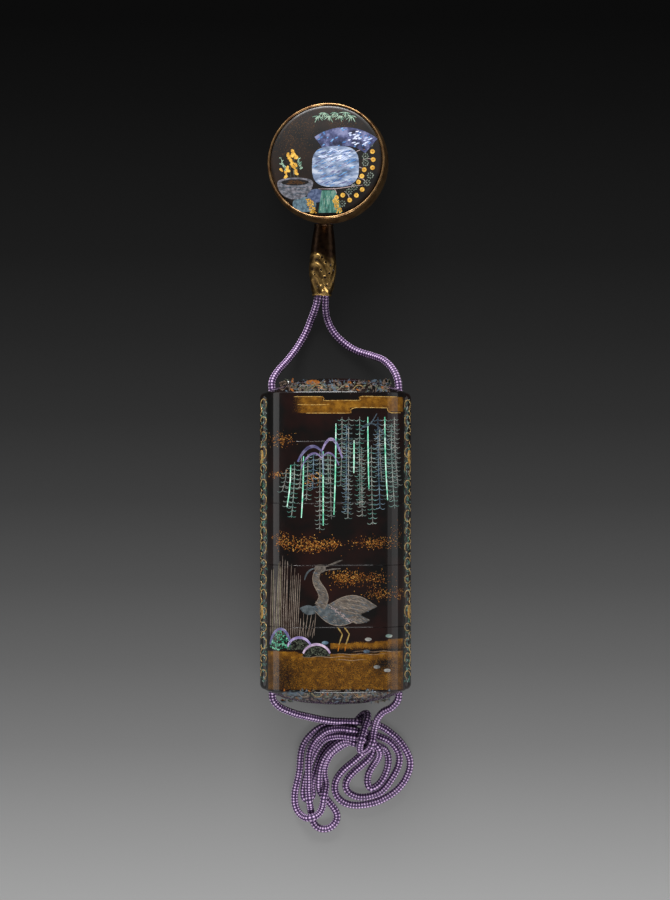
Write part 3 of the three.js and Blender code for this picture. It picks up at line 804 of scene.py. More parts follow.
def cord(silk):
    """One cord: from the toggle down the left side, folded below the case, and back up the right side to the toggle."""
    spare = spline(under_lens(SPARE), CORD_STEP)
    spare = settled(spare, 0.04)
    left = spline(LEFT_RUN, 0.5)
    right = spline(RIGHT_RUN, 0.5)[::-1]
    middle = spline(spare, 0.5)
    line = even(np.vstack([left, middle[1:], right[1:]]), 0.1)
    line[:, 2] = np.maximum(line[:, 2], CORD_RADIUS + 0.06)
    along = np.concatenate([[0], np.cumsum(np.linalg.norm(np.diff(line, axis=0), axis=1))])
    inside = (np.abs(line[:, 1]) < STACK_END - 3) & (np.abs(line[:, 0]) > BORE_X - 0.3) & (line[:, 2] > AXIS_Z - 0.4)
    spans = []
    for flag in (line[:, 0] < 0, line[:, 0] > 0):
        where = along[inside & flag]
        spans.append((where.min(), where.max()))
    obj, centre, _ = braid("silk_cord", line, silk, spans)
    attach(obj, "root")
    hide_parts("cord_left", "cord_right", "cord_hank_left", "cord_hank_right", "cord_tie")
    knot = end_knot(silk)


def end_knot(silk):
    """A trefoil of the same braid, inside the toggle: (sin t + 2 sin 2t, cos t - 2 cos 2t, -sin 3t), flattened."""
    t = np.linspace(0, 2 * math.pi, 160)
    line = np.stack([(np.sin(t) + 2 * np.sin(2 * t)) * 0.95, (np.cos(t) - 2 * np.cos(2 * t)) * 0.95,
        6.2 - 1.15 * np.sin(3 * t)], -1)
    obj, _, _ = braid("silk_end_knot", moved(even(line, 0.1), netsuke_frame()), silk, [])
    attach(obj, "root")
    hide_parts("cord_end_knot")
    return obj


# ---- Finishes ----


def lacquer_finish():
    """Black lacquer, polished: near black with brown where it is thin, and gold dust under the gloss."""
    f = Finish("polished black lacquer with gold dust")
    dust_here = f.attribute("dust")
    grain = f.noise(5.5, 1.0, 0.6)
    patches = f.noise(0.09, 3.0, 0.55)
    ground = f.ramp(patches, (0.42, srgb("#050302")), (0.66, srgb("#1c0704")))
    level = f.math("SUBTRACT", 1.0, dust_here)
    threshold = f.math("ADD", f.math("MULTIPLY", level, 0.62), 0.16)
    speck = f.ramp(f.math("SUBTRACT", grain, threshold), (0.0, 0.0), (0.16, 1.0))
    tone = f.noise(0.5, 4.0, 0.7)
    gold = f.ramp(tone, (0.3, srgb("#50320a")), (0.5, srgb("#764c0e")), (0.68, srgb("#9c6c1e")))
    under = f.blend(f.ramp(dust_here, (0.45, 0.0), (0.9, 0.75)), ground, srgb("#4a2c08"))
    f.set(Base_Color=f.blend(speck, under, gold))
    f.set(Metallic=f.math("MULTIPLY", speck, 0.2), Roughness=0.45, Specular_IOR_Level=0.2, Coat_Weight=1.0,
        Coat_Roughness=0.05, Coat_IOR=1.55)
    return f.material


def rim_finish():
    """Copper-gold of the toggle's bowl, mottled from brown to brighter gold, and as mottled in its roughness."""
    f = Finish("gilt copper of the toggle's bowl")
    wear = f.noise(0.35, 3.0)
    f.set(Base_Color=f.ramp(wear, (0.35, srgb("#5c4028")), (0.65, srgb("#a88458"))))
    f.set(Metallic=0.9, Roughness=f.ramp(wear, (0.3, 0.42), (0.7, 0.26)))
    return f.material


def plate_finish():
    f = Finish("black lacquer plate")
    haze = f.noise(0.16, 3.0)
    f.set(Base_Color=f.ramp(haze, (0.4, srgb("#080504")), (0.7, srgb("#24160c"))))
    f.set(Roughness=0.4, Specular_IOR_Level=0.3, Coat_Weight=0.2, Coat_Roughness=0.08)
    return f.material


def bronze_finish():
    """Dark bronze, plain and brown at the top, gilt where the relief stands up, and painted near black in its hollows:
    painted shade, as the hollows are shallow.
    """
    f = Finish("bronze with gilt relief")
    relief = f.attribute("relief")
    pit = f.attribute("pit")
    stain = f.noise(0.8, 3.0)
    body = f.ramp(stain, (0.35, srgb("#2c1d14")), (0.7, srgb("#4a3524")))
    gilt = f.ramp(f.math("ADD", relief, f.math("MULTIPLY", stain, 0.06)), (0.05, 0.0), (0.14, 1.0))
    colour = f.blend(gilt, body, f.ramp(stain, (0.35, srgb("#8a6a3c")), (0.7, srgb("#c09c5c"))))
    # Painted shade: the shallow hollows are coloured near black and made less metallic, standing in for the dark of
    # deep holes.
    f.set(Base_Color=f.blend(pit, colour, srgb("#050302")))
    f.set(Metallic=f.math("SUBTRACT", 0.9, f.math("MULTIPLY", pit, 0.8)), Roughness=0.34)
    return f.material


def silk_finish():
    """Braided silk: strands of dark purple and of pale lilac cross, so that light and dark lozenges alternate. The ramp
    also paints shade and highlight: each strand is darkest at its edges, in the grooves, and palest on its crown.
    """
    f = Finish("braided purple silk")
    place = f.add("ShaderNodeUVMap", uv_map="braid").outputs[0]
    split = f.add("ShaderNodeSeparateXYZ", {0: place})
    turn = f.math("MULTIPLY", split.outputs[0], BRAID_STRANDS * math.pi)
    run = f.math("MULTIPLY", split.outputs[1], math.pi / BRAID_PITCH)
    p = f.math("SINE", f.math("ADD", turn, run))
    q = f.math("SINE", f.math("SUBTRACT", turn, run))
    check = f.math("MULTIPLY", p, q)
    uneven = f.math("MULTIPLY", f.math("SUBTRACT", f.noise(0.7, 2.0), 0.5), 0.3)
    level = f.math("ADD", f.math("ADD", f.math("MULTIPLY", check, 0.5), 0.5), uneven)
    # Painted shade and highlight: besides the two colours of strand, this ramp darkens every strand towards the grooves
    # at its edges and lightens it on its crown.
    light = f.ramp(
        level, (0.0, srgb("#3c1c50")), (0.42, srgb("#180622")), (0.56, srgb("#5c3474")), (0.7, srgb("#b48cc4")),
        (0.95, srgb("#e8d0ec")),
    )
    f.set(Base_Color=light, Roughness=0.6, Sheen_Weight=0.25, Sheen_Roughness=0.4)
    threads = f.add("ShaderNodeTexWave", {"Vector": place, "Scale": 3.0}, wave_type="BANDS")
    f.bump(threads.outputs["Fac"], 0.2, 0.05)
    return f.material


def floor_finish():
    """A graduated panel, near black beyond the toggle and pale grey in front. It also glows in the same grade: painted
    light, which lights the things on it from below and fills in their shadows.
    """
    f = Finish("graduated panel")
    y = f.add("ShaderNodeSeparateXYZ", {0: f.place()}).outputs[1]
    share = f.math("DIVIDE", f.math("ADD", y, 120.0), 300.0)
    tone = f.ramp(share, (0.05, 0.368), (0.13, 0.282), (0.2, 0.198), (0.28, 0.131), (0.36, 0.082), (0.44, 0.0486),
        (0.52, 0.0294), (0.6, 0.0191), (0.68, 0.0118), (0.83, 0.0056), (0.91, 0.0035))
    # Painted light: the emission glows with the same grade, so the panel lights what lies on it and shows hardly any
    # shadow.
    f.set(Base_Color=f.blend(0.3, [0, 0, 0, 1], tone), Roughness=0.9, Specular_IOR_Level=0.0, Emission_Color=tone,
        Emission_Strength=0.6)
    return f.material


# ---- Inlays: thin closed shapes laid on a surface ----

INLAY_RISE = 0.03
INLAY_SINK = 0.05


def front_height(x, y):
    """The height of the front of the stack over a point: the higher of the oval and of the ridge at each side."""
    off = np.abs(y) - STACK_END
    full = np.maximum(0, 1 - np.maximum(off, 0) / DOME_RISE) ** (1 / DOME_POWER)
    ease = np.clip(-off / EDGE_ROUND, 0, 1)
    size = np.where(off >= 0, full * EASED, EASED + (1 - EASED) * np.sqrt(1 - (1 - ease) ** 2))
    share = np.clip((RIDGE_SHOULDER + off) / (RIDGE_SHOULDER - EDGE_ROUND * 0.5), 0, 1)
    crest = FLUSH_CREST + (RIDGE_CREST - FLUSH_CREST) * np.sqrt(1 - share**2) - EDGE_ROUND * (1 - ease) ** 2
    crest = np.where(off >= 0, full * (FLUSH_CREST - EDGE_ROUND), crest)
    width = np.maximum(size * HALF_WIDTH, 1e-6)
    oval = size * HALF_DEPTH * np.maximum(0, 1 - (np.abs(x) / width) ** OVAL_POWER) ** (1 / OVAL_POWER)
    ridge = np.sqrt(np.maximum(0, RIDGE_RADIUS**2 - (np.abs(x) - (crest - RIDGE_RADIUS)) ** 2))
    return AXIS_Z + np.maximum(oval, ridge)


def on_case(drawn):
    """Drawn points, moved along the camera's lines of sight on to the front of the stack, with the surface's normals."""
    centre = np.array(LENS_PLACE[:2])
    z = np.full(len(drawn), AXIS_Z)
    for _ in range(4):
        at = centre + (drawn - centre) * ((LENS_PLACE[2] - z) / (LENS_PLACE[2] - AXIS_Z))[:, None]
        z = front_height(*at.T)
    e = 0.06
    x, y = at.T
    slope_x = (front_height(x + e, y) - front_height(x - e, y)) / (2 * e)
    slope_y = (front_height(x, y + e) - front_height(x, y - e)) / (2 * e)
    normal = np.stack([-slope_x, -slope_y, np.ones_like(x)], -1)
    return np.column_stack([at, z]), normal / np.linalg.norm(normal, axis=1)[:, None]


def on_plate(drawn):
    """Drawn points, moved along the camera's lines of sight on to the toggle's plate, with the surface's normals."""
    frame = netsuke_frame()
    centre = np.array(LENS_PLACE[:2])
    at = centre + (drawn - centre) * (LENS_PLACE[2] - 13.6) / (LENS_PLACE[2] - AXIS_Z)
    local = np.zeros_like(at)
    for _ in range(4):
        h = PLATE_EDGE + PLATE_CROWN * (1 - (local**2).sum(1) / PLATE_RADIUS**2)
        local = np.linalg.solve(frame[:2, :2], (at - frame[:2, 3] - h[:, None] * frame[:2, 2]).T).T
    normal = np.column_stack([local * 2 * PLATE_CROWN / PLATE_RADIUS**2, np.ones(len(local))])
    points = moved(np.column_stack([local, h]), frame)
    return points, (normal / np.linalg.norm(normal, axis=1)[:, None]) @ frame[:3, :3].T


class Inlay:
    """Shapes of several finishes gathered into one mesh that lies on a surface."""

    def __init__(self, surface, finishes):
        self.surface, self.finishes = surface, finishes
        self.points, self.faces, self.slots, self.count = [], [], [], 0

    def gather(self, points, faces, finish):
        self.points.append(points)
        self.faces += [[i + self.count for i in face] for face in faces]
        self.slots += [list(self.finishes).index(finish)] * len(faces)
        self.count += len(points)

    def strokes(self, finish, lines, widths, rise=INLAY_RISE):
        """Flat ribbons: `lines` holds the middle lines of m strokes of k points each, and `widths` their widths."""
        lines = np.asarray(lines, float)
        m, k = lines.shape[:2]
        widths = np.broadcast_to(widths, (m, k))
        along = np.gradient(lines, axis=1)
        along /= np.linalg.norm(along, axis=2)[..., None] + 1e-9
        across = np.stack([-along[..., 1], along[..., 0]], -1) * widths[..., None] / 2
        left, left_up = self.surface((lines + across).reshape(-1, 2))
        right, right_up = self.surface((lines - across).reshape(-1, 2))
        middle = (right - left) * 0.12
        ring = [left - left_up * INLAY_SINK, left + middle + left_up * rise, right - middle + right_up * rise,
            right - right_up * INLAY_SINK]
        points = np.stack(ring, 1).reshape(-1, 3)
        start = (np.arange(m)[:, None] * k + np.arange(k - 1)).ravel()[:, None] * 4
        j = np.array([0, 1, 2, 3])
        quads = np.stack([start + j, start + 4 + j, start + 4 + (j + 1) % 4, start + (j + 1) % 4], -1).reshape(-1, 4)
        first = np.arange(m)[:, None] * k * 4
        caps = np.concatenate([first + [0, 1, 2, 3], first + (k - 1) * 4 + [3, 2, 1, 0]])
        self.gather(points, np.concatenate([quads, caps]).tolist(), finish)

    def line(self, finish, points, width, taper=0.0, step=0.35, rise=INLAY_RISE):
        """A ribbon along a smooth curve, narrowed at its ends by `taper`, from 0 to 1."""
        path = spline([(*p, 0) for p in points], step)[:, :2]
        t = np.linspace(-1, 1, len(path))
        self.strokes(finish, path[None], width * (1 - taper * np.abs(t) ** 2.5), rise)

    def arc(self, finish, centre, radii, start, end, width, taper=0.3):
        a = np.radians(np.linspace(start, end, 14))
        self.line(finish, np.column_stack([centre[0] + radii[0] * np.cos(a), centre[1] + radii[1] * np.sin(a)]),
            width, taper, 0.2)

    def patch(self, finish, outline, rise=INLAY_RISE, smooth=True, step=0.8):
        """A flat shape with a filled outline."""
        ring = np.asarray(outline, float)
        ring = np.vstack([ring, ring[:1]])
        ring = spline([(*p, 0) for p in ring], step * 0.6)[:-1, :2] if smooth else even(ring, step * 0.6)[:-1]
        low, high = ring.min(0), ring.max(0)
        grid = np.stack(np.meshgrid(np.arange(low[0], high[0], step), np.arange(low[1], high[1], step)),
            -1).reshape(-1, 2)
        inner = grid[inside(ring, grid, 0.3 * step)]
        vertices = [Vector(p) for p in np.vstack([ring, inner])]
        rim_edges = [(i, (i + 1) % len(ring)) for i in range(len(ring))]
        made = delaunay_2d_cdt(vertices, rim_edges, [], 0, 1e-6, False)
        flat = np.array([tuple(v) for v in made[0]])
        faces = np.array([list(f) for f in made[2]])
        faces = faces[inside(ring, flat[faces].mean(1))].tolist()
        a, b, c = flat[faces[0][0]], flat[faces[0][1]], flat[faces[0][2]]
        if (b[0] - a[0]) * (c[1] - a[1]) < (b[1] - a[1]) * (c[0] - a[0]):
            faces = [f[::-1] for f in faces]
        points, up = self.surface(flat)
        n = len(points)
        edges = {(f[i], f[(i + 1) % len(f)]) for f in faces for i in range(len(f))}
        rim = [(i, j) for i, j in edges if (j, i) not in edges]
        shell = faces + [[i + n for i in f[::-1]] for f in faces] + [[j, i, i + n, j + n] for i, j in rim]
        self.gather(np.vstack([points + up * rise, points - up * INLAY_SINK]), shell, finish)

    def flakes(self, finish, centres, sizes, rng, long=1.25, rise=INLAY_RISE):
        """Small irregular flakes, turned at random."""
        a = rng.uniform(0, math.pi, len(centres))
        along = np.stack([np.cos(a), np.sin(a)], -1)[:,
            None] * (np.array([-0.5, 0.05, 0.5])[None, :, None] * sizes[:, None, None] * long)
        wide = sizes[:, None] * np.array([0.45, 1.0, 0.5]) * rng.uniform(0.7, 1.1, (len(centres), 3))
        self.strokes(finish, centres[:, None] + along, wide, rise)

    def finish(self, name, cuts=None):
        """Makes the mesh. `cuts` gives a name for each band between two places along the stack, so no inlay bridges a seam."""
        points = np.vstack(self.points)
        whole = piece(name, points, self.faces, list(self.finishes.values()), self.slots, smooth=False)
        if not cuts:
            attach(whole, "root")
            return
        for band, (low, high) in cuts.items():
            bm = bmesh.new()
            bm.from_mesh(whole.data)
            for y, facing in ((low, -1), (high, 1)):
                geometry = bm.verts[:] + bm.edges[:] + bm.faces[:]
                bmesh.ops.bisect_plane(bm, geom=geometry, dist=1e-7, plane_co=(0, y * MM, 0), plane_no=(0, facing, 0),
                    clear_outer=True)
            bmesh.ops.holes_fill(bm, edges=[e for e in bm.edges if e.is_boundary], sides=0)
            mesh = bpy.data.meshes.new(f"{name}_{band}")
            bm.to_mesh(mesh)
            bm.free()
            for material in self.finishes.values():
                mesh.materials.append(material)
            made = bpy.data.objects.new(f"{name}_{band}", mesh)
            bpy.context.scene.collection.objects.link(made)
            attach(made, "root")
        bpy.data.objects.remove(whole)


def inside(ring, points, margin=0.0):
    """Which points lie inside a closed outline, at least `margin` from it."""
    x, y = points[:, 0][:, None], points[:, 1][:, None]
    a, b = ring, np.roll(ring, -1, 0)
    crosses = (a[:, 1] > y) != (b[:, 1] > y)
    at = a[:, 0] + (y - a[:, 1]) / (b[:, 1] - a[:, 1] + 1e-12) * (b[:, 0] - a[:, 0])
    within = (crosses & (x < at)).sum(1) % 2 == 1
    near = np.sqrt(((points[:, None] - ring[None]) ** 2).sum(-1)).min(1)
    return within & (near > margin)


def scattered(rng, outline, count):
    """Random points inside an outline."""
    ring = np.asarray(outline, float)
    tries = rng.uniform(ring.min(0), ring.max(0), (count * 4, 2))
    return tries[inside(ring, tries)][:count]


# ---- The picture on the front ----

SEAMS = {
    "lid": (29.0, 60), "tier_1": (11.2, 28.88), "tier_2": (-6.6, 11.08), "tier_3": (-24.4, -6.72),
    "bottom": (-60, -24.52),
}

# The figures are generic: each comes from a formula, with its place and its few sizes in round numbers.


def oval(centre, half, power=2.0, start=0, end=360, count=28):
    """Points round |x / a|^n + |y / b|^n = 1, from one angle to another in degrees."""
    a = np.radians(np.linspace(start, end, count, endpoint=end - start < 360))
    across, up = (np.sign(v) * np.abs(v) ** (2 / power) for v in (np.cos(a), np.sin(a)))
    return np.column_stack([centre[0] + half[0] * across, centre[1] + half[1] * up])


def sector(centre, radii, start, end, count=14):
    """An open fan: the band between two radii, from one angle to another in degrees."""
    a = np.radians(np.linspace(start, end, count))
    rays = np.column_stack([np.cos(a), np.sin(a)])
    return np.vstack([np.array(centre) + radii[1] * rays, np.array(centre) + radii[0] * rays[::-1]])


def pointed(root, tip, up, down, count=14):
    """A pointed leaf: beside the line from root to tip it stands out by up sin(pi t), and by down sin(pi t) below."""
    t = np.linspace(0, 1, count)[:, None]
    root, tip = np.array(root, float), np.array(tip, float)
    line = root + (tip - root) * t
    aside = np.array([root[1] - tip[1], tip[0] - root[0]]) / np.hypot(*(tip - root))
    swell = np.sin(math.pi * t)
    return np.vstack([line + up * swell * aside, (line - down * swell * aside)[::-1][1:-1]])


def ribbon(middle, widths):
    """The outline of a ribbon along a line, with its widths."""
    along = np.gradient(middle, axis=0)
    across = np.stack([-along[:, 1], along[:, 0]], -1) / np.linalg.norm(along, axis=1)[:, None]
    across = across * widths[:, None] / 2
    return np.vstack([middle + across, (middle - across)[::-1]])


# Finishes of the stems and of their leaves, taken in turn.
STEM_FINISHES = [("grey", "teal"), ("mint", "teal"), ("teal", "leaf"), ("grey", "teal"), ("mint", ""),
    ("grey", "leaf"), ("blue", "blue")]
STEM_COUNT = 25
LEAF_SPACING = 1.35
LEAF_REACH = 1.5

# Boughs, each with its finish, its width, the count of its lines, its root, its reach, its rise and its fall.
BOUGHS = [
    ("violet", 1.0, 3, (-4, 26), -7, 2, 3), ("lilac", 0.6, 2, (-4, 24), -6, 2, 3),
    ("lilac", 0.95, 3, (-4, 26), 6, 4, 2),
    ("lilac", 0.5, 2, (-4, 24), 5, 2, 2), ("violet", 0.6, 2, (-4, 26), 0.5, 0, 7),
    ("slate", 0.55, 2, (7, 32), 9, 3, 5),
    ("slate", 0.5, 1, (8, 33), 4, 0, -4),
]

CLOUD_LINES = [
    [(-12, 41.85), (-8, 41.9), (-3.7, 41.85)],
    [(-3.8, 41.8), (-3.3, 41.3), (-3.6, 40.85), (-2.8, 40.75), (2, 40.8), (6.4, 40.8)],
    [(6.4, 40.8), (7.3, 41), (6.9, 41.6), (7.6, 41.9), (12, 41.9), (17.9, 41.8)],
    [(-8.4, 37.1), (-3, 37.1), (3.4, 37.1)],
    [(3.4, 37.1), (4.5, 37.3), (4.3, 38), (5.2, 38.5), (6, 38.7), (10.8, 38.7), (15, 38.6)],
    [(15, 38.6), (15.2, 37.8), (15.8, 37.3), (18.9, 37.2)], [(-11, 39.6), (-7, 39.5), (-2, 39.6)],
]

FLAKE_PATCHES = [
    # middle, half length, half height, count, size
    (-15.4, 29.6, 4.6, 2.4, 150, 0.3), (-16.4, 19.3, 2.6, 1.1, 46, 0.36), (-6.7, 18.3, 2, 2, 40, 0.6),
    (-15.2, 0.2, 3, 2.6, 150, 0.32), (-7.4, -1.2, 7.6, 2.6, 330, 0.4), (-0.4, -0.7, 2.4, 2, 60, 0.42),
    (11, -0.6, 6, 1.9, 250, 0.3), (17.6, 1.6, 2.4, 4.4, 60, 0.22),
    (3, -10.8, 6, 2.4, 330, 0.34), (10.6, -10.6, 5.6, 2.2, 170, 0.28), (12.8, -15.3, 5.4, 1.9, 200, 0.27),
    (18.4, -15.2, 1.7, 2, 60, 0.24),
]

# A wading bird: an S for its neck, ovals and pointed leaves for the rest.
NECK_RISE = np.linspace(0, 1, 16)
BIRD_NECK = ribbon(np.column_stack([-4.6 + 1.1 * np.sin(2 * math.pi * NECK_RISE), -19 + 11 * NECK_RISE]),
    3.2 - 1.8 * NECK_RISE)
BIRD_HEAD = oval((-4.5, -8), (1.7, 1.2))
BIRD_BODY = pointed((-7, -19), (8, -22), 2, 4)
BIRD_TAIL = pointed((3, -22.5), (10, -23), 1.2, 1.2)
BIRD_WING = pointed((-2, -18.5), (12, -19), 3, 2.6)
BIRD_STUB = pointed((-5, -20.5), (-10.5, -19.5), 1.4, 1.4)

# Rocks, each with its middle, its half axes, the finish of its specks and the finish of its edge.
ROCKS = [
    ((-16, -31.5), (3, 6), "chip", "violet"), ((-10.5, -31.5), (3.5, 3.5), "moss", "lilac"),
    ((-5.5, -33.5), (4, 3.5), "moss", "pink"),
]
PEBBLES = [("teal", 15.5, -27.5), ("grey", 9.5, -28.5), ("grey", 12, -36.5), ("grey", 15, -37.5), ("slate", 9, -32),
    ("blue", -3, -29.5)]

# On the ridges: rings and hooks of gold as (side, middle, half axes, from and to in degrees).
RIDGE_RINGS = [
    (side, (20.9, 39.5 - 4.6 * k), (0.8, 1.1 + 0.3 * ((k + side) % 3)), 40 * (k % 4) - 60, 40 * (k % 4) + 220)
    for side in (-1, 1) for k in range(18)
]
RIDGE_STEMS = [(side, 38.2 - 4.6 * k, 36.2 - 4.6 * k) for side in (-1, 1) for k in range(17)]
RIDGE_GOLD = [(side, oval((21.4, y), (0.5, 2), count=10).tolist()) for side in (-1, 1) for y in (24.5, -20.5)]

# On the domes, drawn for the upper end: pale scrolls, and flecks of shell.
DOME_LINES = [[(x, 44), (x + 1.5, 45.2), (x + 3, 44.7), (x + 2.6, 44)] for x in range(-15, 13, 4)]


def hanging(inlay, rng):
    """Stems in a row, which hang from the tree's arch on the left and from higher up on the right, and lean outwards.
    Their small leaves are in pairs: each leaf runs outwards from its stem, dips and curls up again at its tip, so that
    its fall at the share t of its reach is 1.2 t (1.2 - t)."""
    for k in range(STEM_COUNT):
        finish, leaf = STEM_FINISHES[k % len(STEM_FINISHES)]
        x = -14 + 31 * k / (STEM_COUNT - 1) + rng.uniform(-0.5, 0.5)
        on_left = x < -1
        top = 26 - 0.05 * (x + 4) ** 2 if on_left else 36 - rng.uniform(0, 9) * (k % 2)
        low = rng.uniform(3, 12) if k % 3 else rng.uniform(14, 20)
        fall = np.linspace(0, 1, 4)
        lean = 0.12 * (x + 4) if on_left else 0.1 * (x - 6)
        points = np.column_stack([x + lean * fall**2, top + (low - top) * fall])
        inlay.line(finish, points, 0.44 if finish == "mint" else 0.27, 0.35)
        path = spline([(*p, 0) for p in points], 0.1)[:, :2]
        along = np.concatenate([[0], np.cumsum(np.linalg.norm(np.diff(path, axis=0), axis=1))])
        at = np.arange(0.5, along[-1], LEAF_SPACING)
        if not leaf:
            continue
        at = at + rng.uniform(-0.15, 0.15, len(at))
        base = np.stack([np.interp(at, along, path[:, j]) for j in range(2)], -1)
        t = np.linspace(0.08, 1, 6)
        widths = 0.21 * np.array([0.6, 1.0, 1.0, 0.95, 0.8, 0.4])
        for side in (-1, 1):
            size = LEAF_REACH * rng.uniform(0.7, 1.08, len(at))[:, None]
            x_leaf = base[:, :1] + side * size * t
            y_leaf = base[:, 1:] - 1.2 * size * t * (1.2 - t) + rng.uniform(-0.1, 0.1, (len(at), 1))
            inlay.strokes(leaf, np.stack([x_leaf, y_leaf], -1), widths * rng.uniform(0.75, 1.05, (len(at), 1)))


def tree(inlay):
    """Each bough is one to three thin lines side by side that close up towards its ends. At the share t of its reach
    it stands 4 rise t (1 - t) - fall t^2 above its root."""
    for finish, width, count, root, reach, rise, fall in BOUGHS:
        t = np.linspace(0, 1, 30)
        path = np.column_stack([root[0] + reach * t, root[1] + 4 * rise * t * (1 - t) - fall * t**2])
        along = np.gradient(path, axis=0)
        across = np.stack([-along[:, 1], along[:, 0]], -1) / np.linalg.norm(along, axis=1)[:, None]
        close = 1 - 0.6 * np.abs(np.linspace(-1, 1, len(path))) ** 2
        for k in range(count):
            aside = (k - (count - 1) / 2) * width / count
            line = path + across * (aside * close)[:, None]
            inlay.strokes(finish, line[None], width / count * 0.72 * (0.55 + 0.45 * close), 0.045)


def mist(inlay, rng):
    for cx, cy, rx, ry, count, size in FLAKE_PATCHES:
        spot = rng.normal(0, 0.46, (count, 2)) * [rx, ry] + [cx, cy]
        spot = spot[np.abs(spot[:, 0]) < 19.6]
        sizes = 0.72 * size * rng.uniform(0.5, 1.15, len(spot))
        dull = len(spot) * 2 // 3
        inlay.flakes("flake", spot[:dull], sizes[:dull], rng)
        inlay.flakes("spark", spot[dull:], sizes[dull:], rng)


def bird(inlay, rng):
    inlay.patch("pewter", BIRD_STUB, 0.03)
    inlay.patch("pewter", BIRD_BODY, 0.04)
    inlay.patch("wing", BIRD_TAIL, 0.045)
    inlay.patch("wing", BIRD_WING, 0.06)
    inlay.patch("wing", BIRD_NECK, 0.055)
    inlay.patch("wing", BIRD_HEAD, 0.058)
    inlay.line("pewter", oval((-6, -12), (3, 4), start=90, end=170, count=6), 0.6, 0.7, 0.3, 0.04)
    inlay.line("wing", [(-3, -7.5), (-0.5, -6.5), (2, -5.5)], 0.6, 0.6, 0.3, 0.05)
    inlay.line("wing", [(-3, -8.5), (-1, -8.2), (1.5, -8)], 0.46, 0.6, 0.3, 0.05)
    inlay.flakes("black", np.array([(-4, -7.8)]), np.array([0.4]), rng, 1.0, 0.075)
    for outline in (BIRD_WING[:14], BIRD_BODY[14:], BIRD_NECK[:16], BIRD_NECK[16:]):
        inlay.line("pale", outline, 0.15, 0.5, 0.3, 0.08)
    for k in range(4):
        inlay.line("pale", [(1 + k / 2, -17 - 1.1 * k), (5, -17.2 - 1.2 * k), (9 - k / 2, -18 - 1.1 * k)], 0.15, 0.5,
            0.3, 0.08)
    for outline, count, rise in ((BIRD_WING, 150, 0.072), (BIRD_BODY, 120, 0.052), (BIRD_TAIL, 50, 0.057),
        (BIRD_NECK, 80, 0.067)):
        spot = scattered(rng, outline, count)
        ends = np.stack([spot + [-0.4, 0.15], spot, spot + [0.4, -0.2]], 1)
        third = len(spot) // 3
        for finish, share in (("slate", slice(0, third)), ("umber", slice(third, 2 * third)),
            ("pale", slice(2 * third, None))):
            inlay.strokes(finish, ends[share], np.array([0.08, 0.2, 0.06]) * (0.7 if finish == "pale" else 1), rise)
    band = np.linspace((-1.5, -19), (4.5, -23.5), 90)
    inlay.flakes("pink_grey", band + rng.normal(0, 0.26, band.shape), rng.uniform(0.15, 0.3, len(band)), rng, 1.2,
        0.085)
    for hip in (0.5, 2.5):
        knee, foot = (hip + 1.5, -27), (hip + 0.5, -30)
        inlay.line("straw", [(hip, -25), (hip + 0.8, -26), knee], 0.46, 0.35, 0.3, 0.045)
        inlay.line("straw", [knee, (hip + 1, -28.5), foot], 0.46, 0.35, 0.3, 0.045)
        inlay.line("ember", [foot, (hip + 0.4, -31), (hip + 0.2, -32)], 0.4, 0.5)


def reeds(inlay, rng):
    """Upright strokes that lean to the right as they rise, tallest in the middle of the clump."""
    for k, foot in enumerate(np.arange(-18.9, -6.0, 0.53)):
        top = -21 if foot > -10.5 else -4 - 1.3 * abs(foot + 15.5)
        top -= rng.uniform(0, 2.4) * (k % 3)
        low = -27.4 - rng.uniform(0, 1.4)
        lean = rng.uniform(0.1, 1.0)
        middle = (top + low) / 2
        line = [(foot, low), (foot + 0.1 * lean, (low + middle) / 2), (foot + 0.4 * lean, middle), (foot + lean, top)]
        inlay.line("straw_pale" if foot < -16 and k % 2 else "reed", line, rng.uniform(0.2, 0.3), 0.5, 0.6)


def rocks(inlay, rng):
    """Half ovals with specks of shell and a bright ribbon along each top, pebbles, and waves y = y0 + 0.15 sin x."""
    for centre, half, specks, edge in ROCKS:
        outline = oval(centre, half, 2, 0, 180)
        inlay.patch("black", outline, 0.02)
        spot = scattered(rng, outline, 150)
        inlay.flakes(specks, spot, 0.42 * rng.uniform(0.6, 1.1, len(spot)), rng, 1.1, 0.035)
        inlay.line(edge, oval(centre, half, 2, 15, 165, 12), 0.85, 0.3, 0.3, 0.06)
    for finish, x, y in PEBBLES:
        round_patch(inlay, finish, (x, y), (1, 0.5), 0.035)
    for y, start, end in ((-32, 5, 19), (-32.8, -1, 15), (-33.6, -10, 6), (-34.5, 0, 9)):
        x = np.linspace(start, end, 12)
        inlay.line("sand", np.column_stack([x, y + 0.15 * np.sin(x)]), 0.2, 0.6)


def ridges(inlay, rng):
    for side, (x, y), radii, start, end in RIDGE_RINGS:
        if side < 0:
            start, end = 180 - start, 180 - end
        inlay.arc("scroll", (side * x, y), radii, start, end, 0.24)
    for side, high, low in RIDGE_STEMS:
        middle = (high + low) / 2
        wave = 0.28 * side
        inlay.line("scroll",
            [(side * 21.72, high), (side * 21.62 - wave, middle + 0.6), (side * 21.78, middle - 0.4),
                (side * 21.6, low)], 0.24, 0.4)
    for side, outline in RIDGE_GOLD:
        inlay.patch("gold", [(side * x, y) for x, y in outline], 0.03, True, 0.5)
    for side in (-1, 1):
        y = rng.uniform(-41, 41, 330)
        x = rng.uniform(19.95, 21.6, 330)
        a = rng.normal(math.pi / 2, 0.45, 330)
        reach = rng.uniform(0.2, 0.5, 330)
        d = np.stack([np.cos(a), np.sin(a)], -1) * reach[:, None]
        c = np.stack([side * x, y], -1)
        ends = np.stack([c - d, c, c + d], 1)
        for finish, share in (("leaf", slice(0, 120)), ("deep", slice(120, 290)), ("grey", slice(290, 330))):
            inlay.strokes(finish, ends[share], np.array([0.09, 0.2, 0.09]), 0.02)


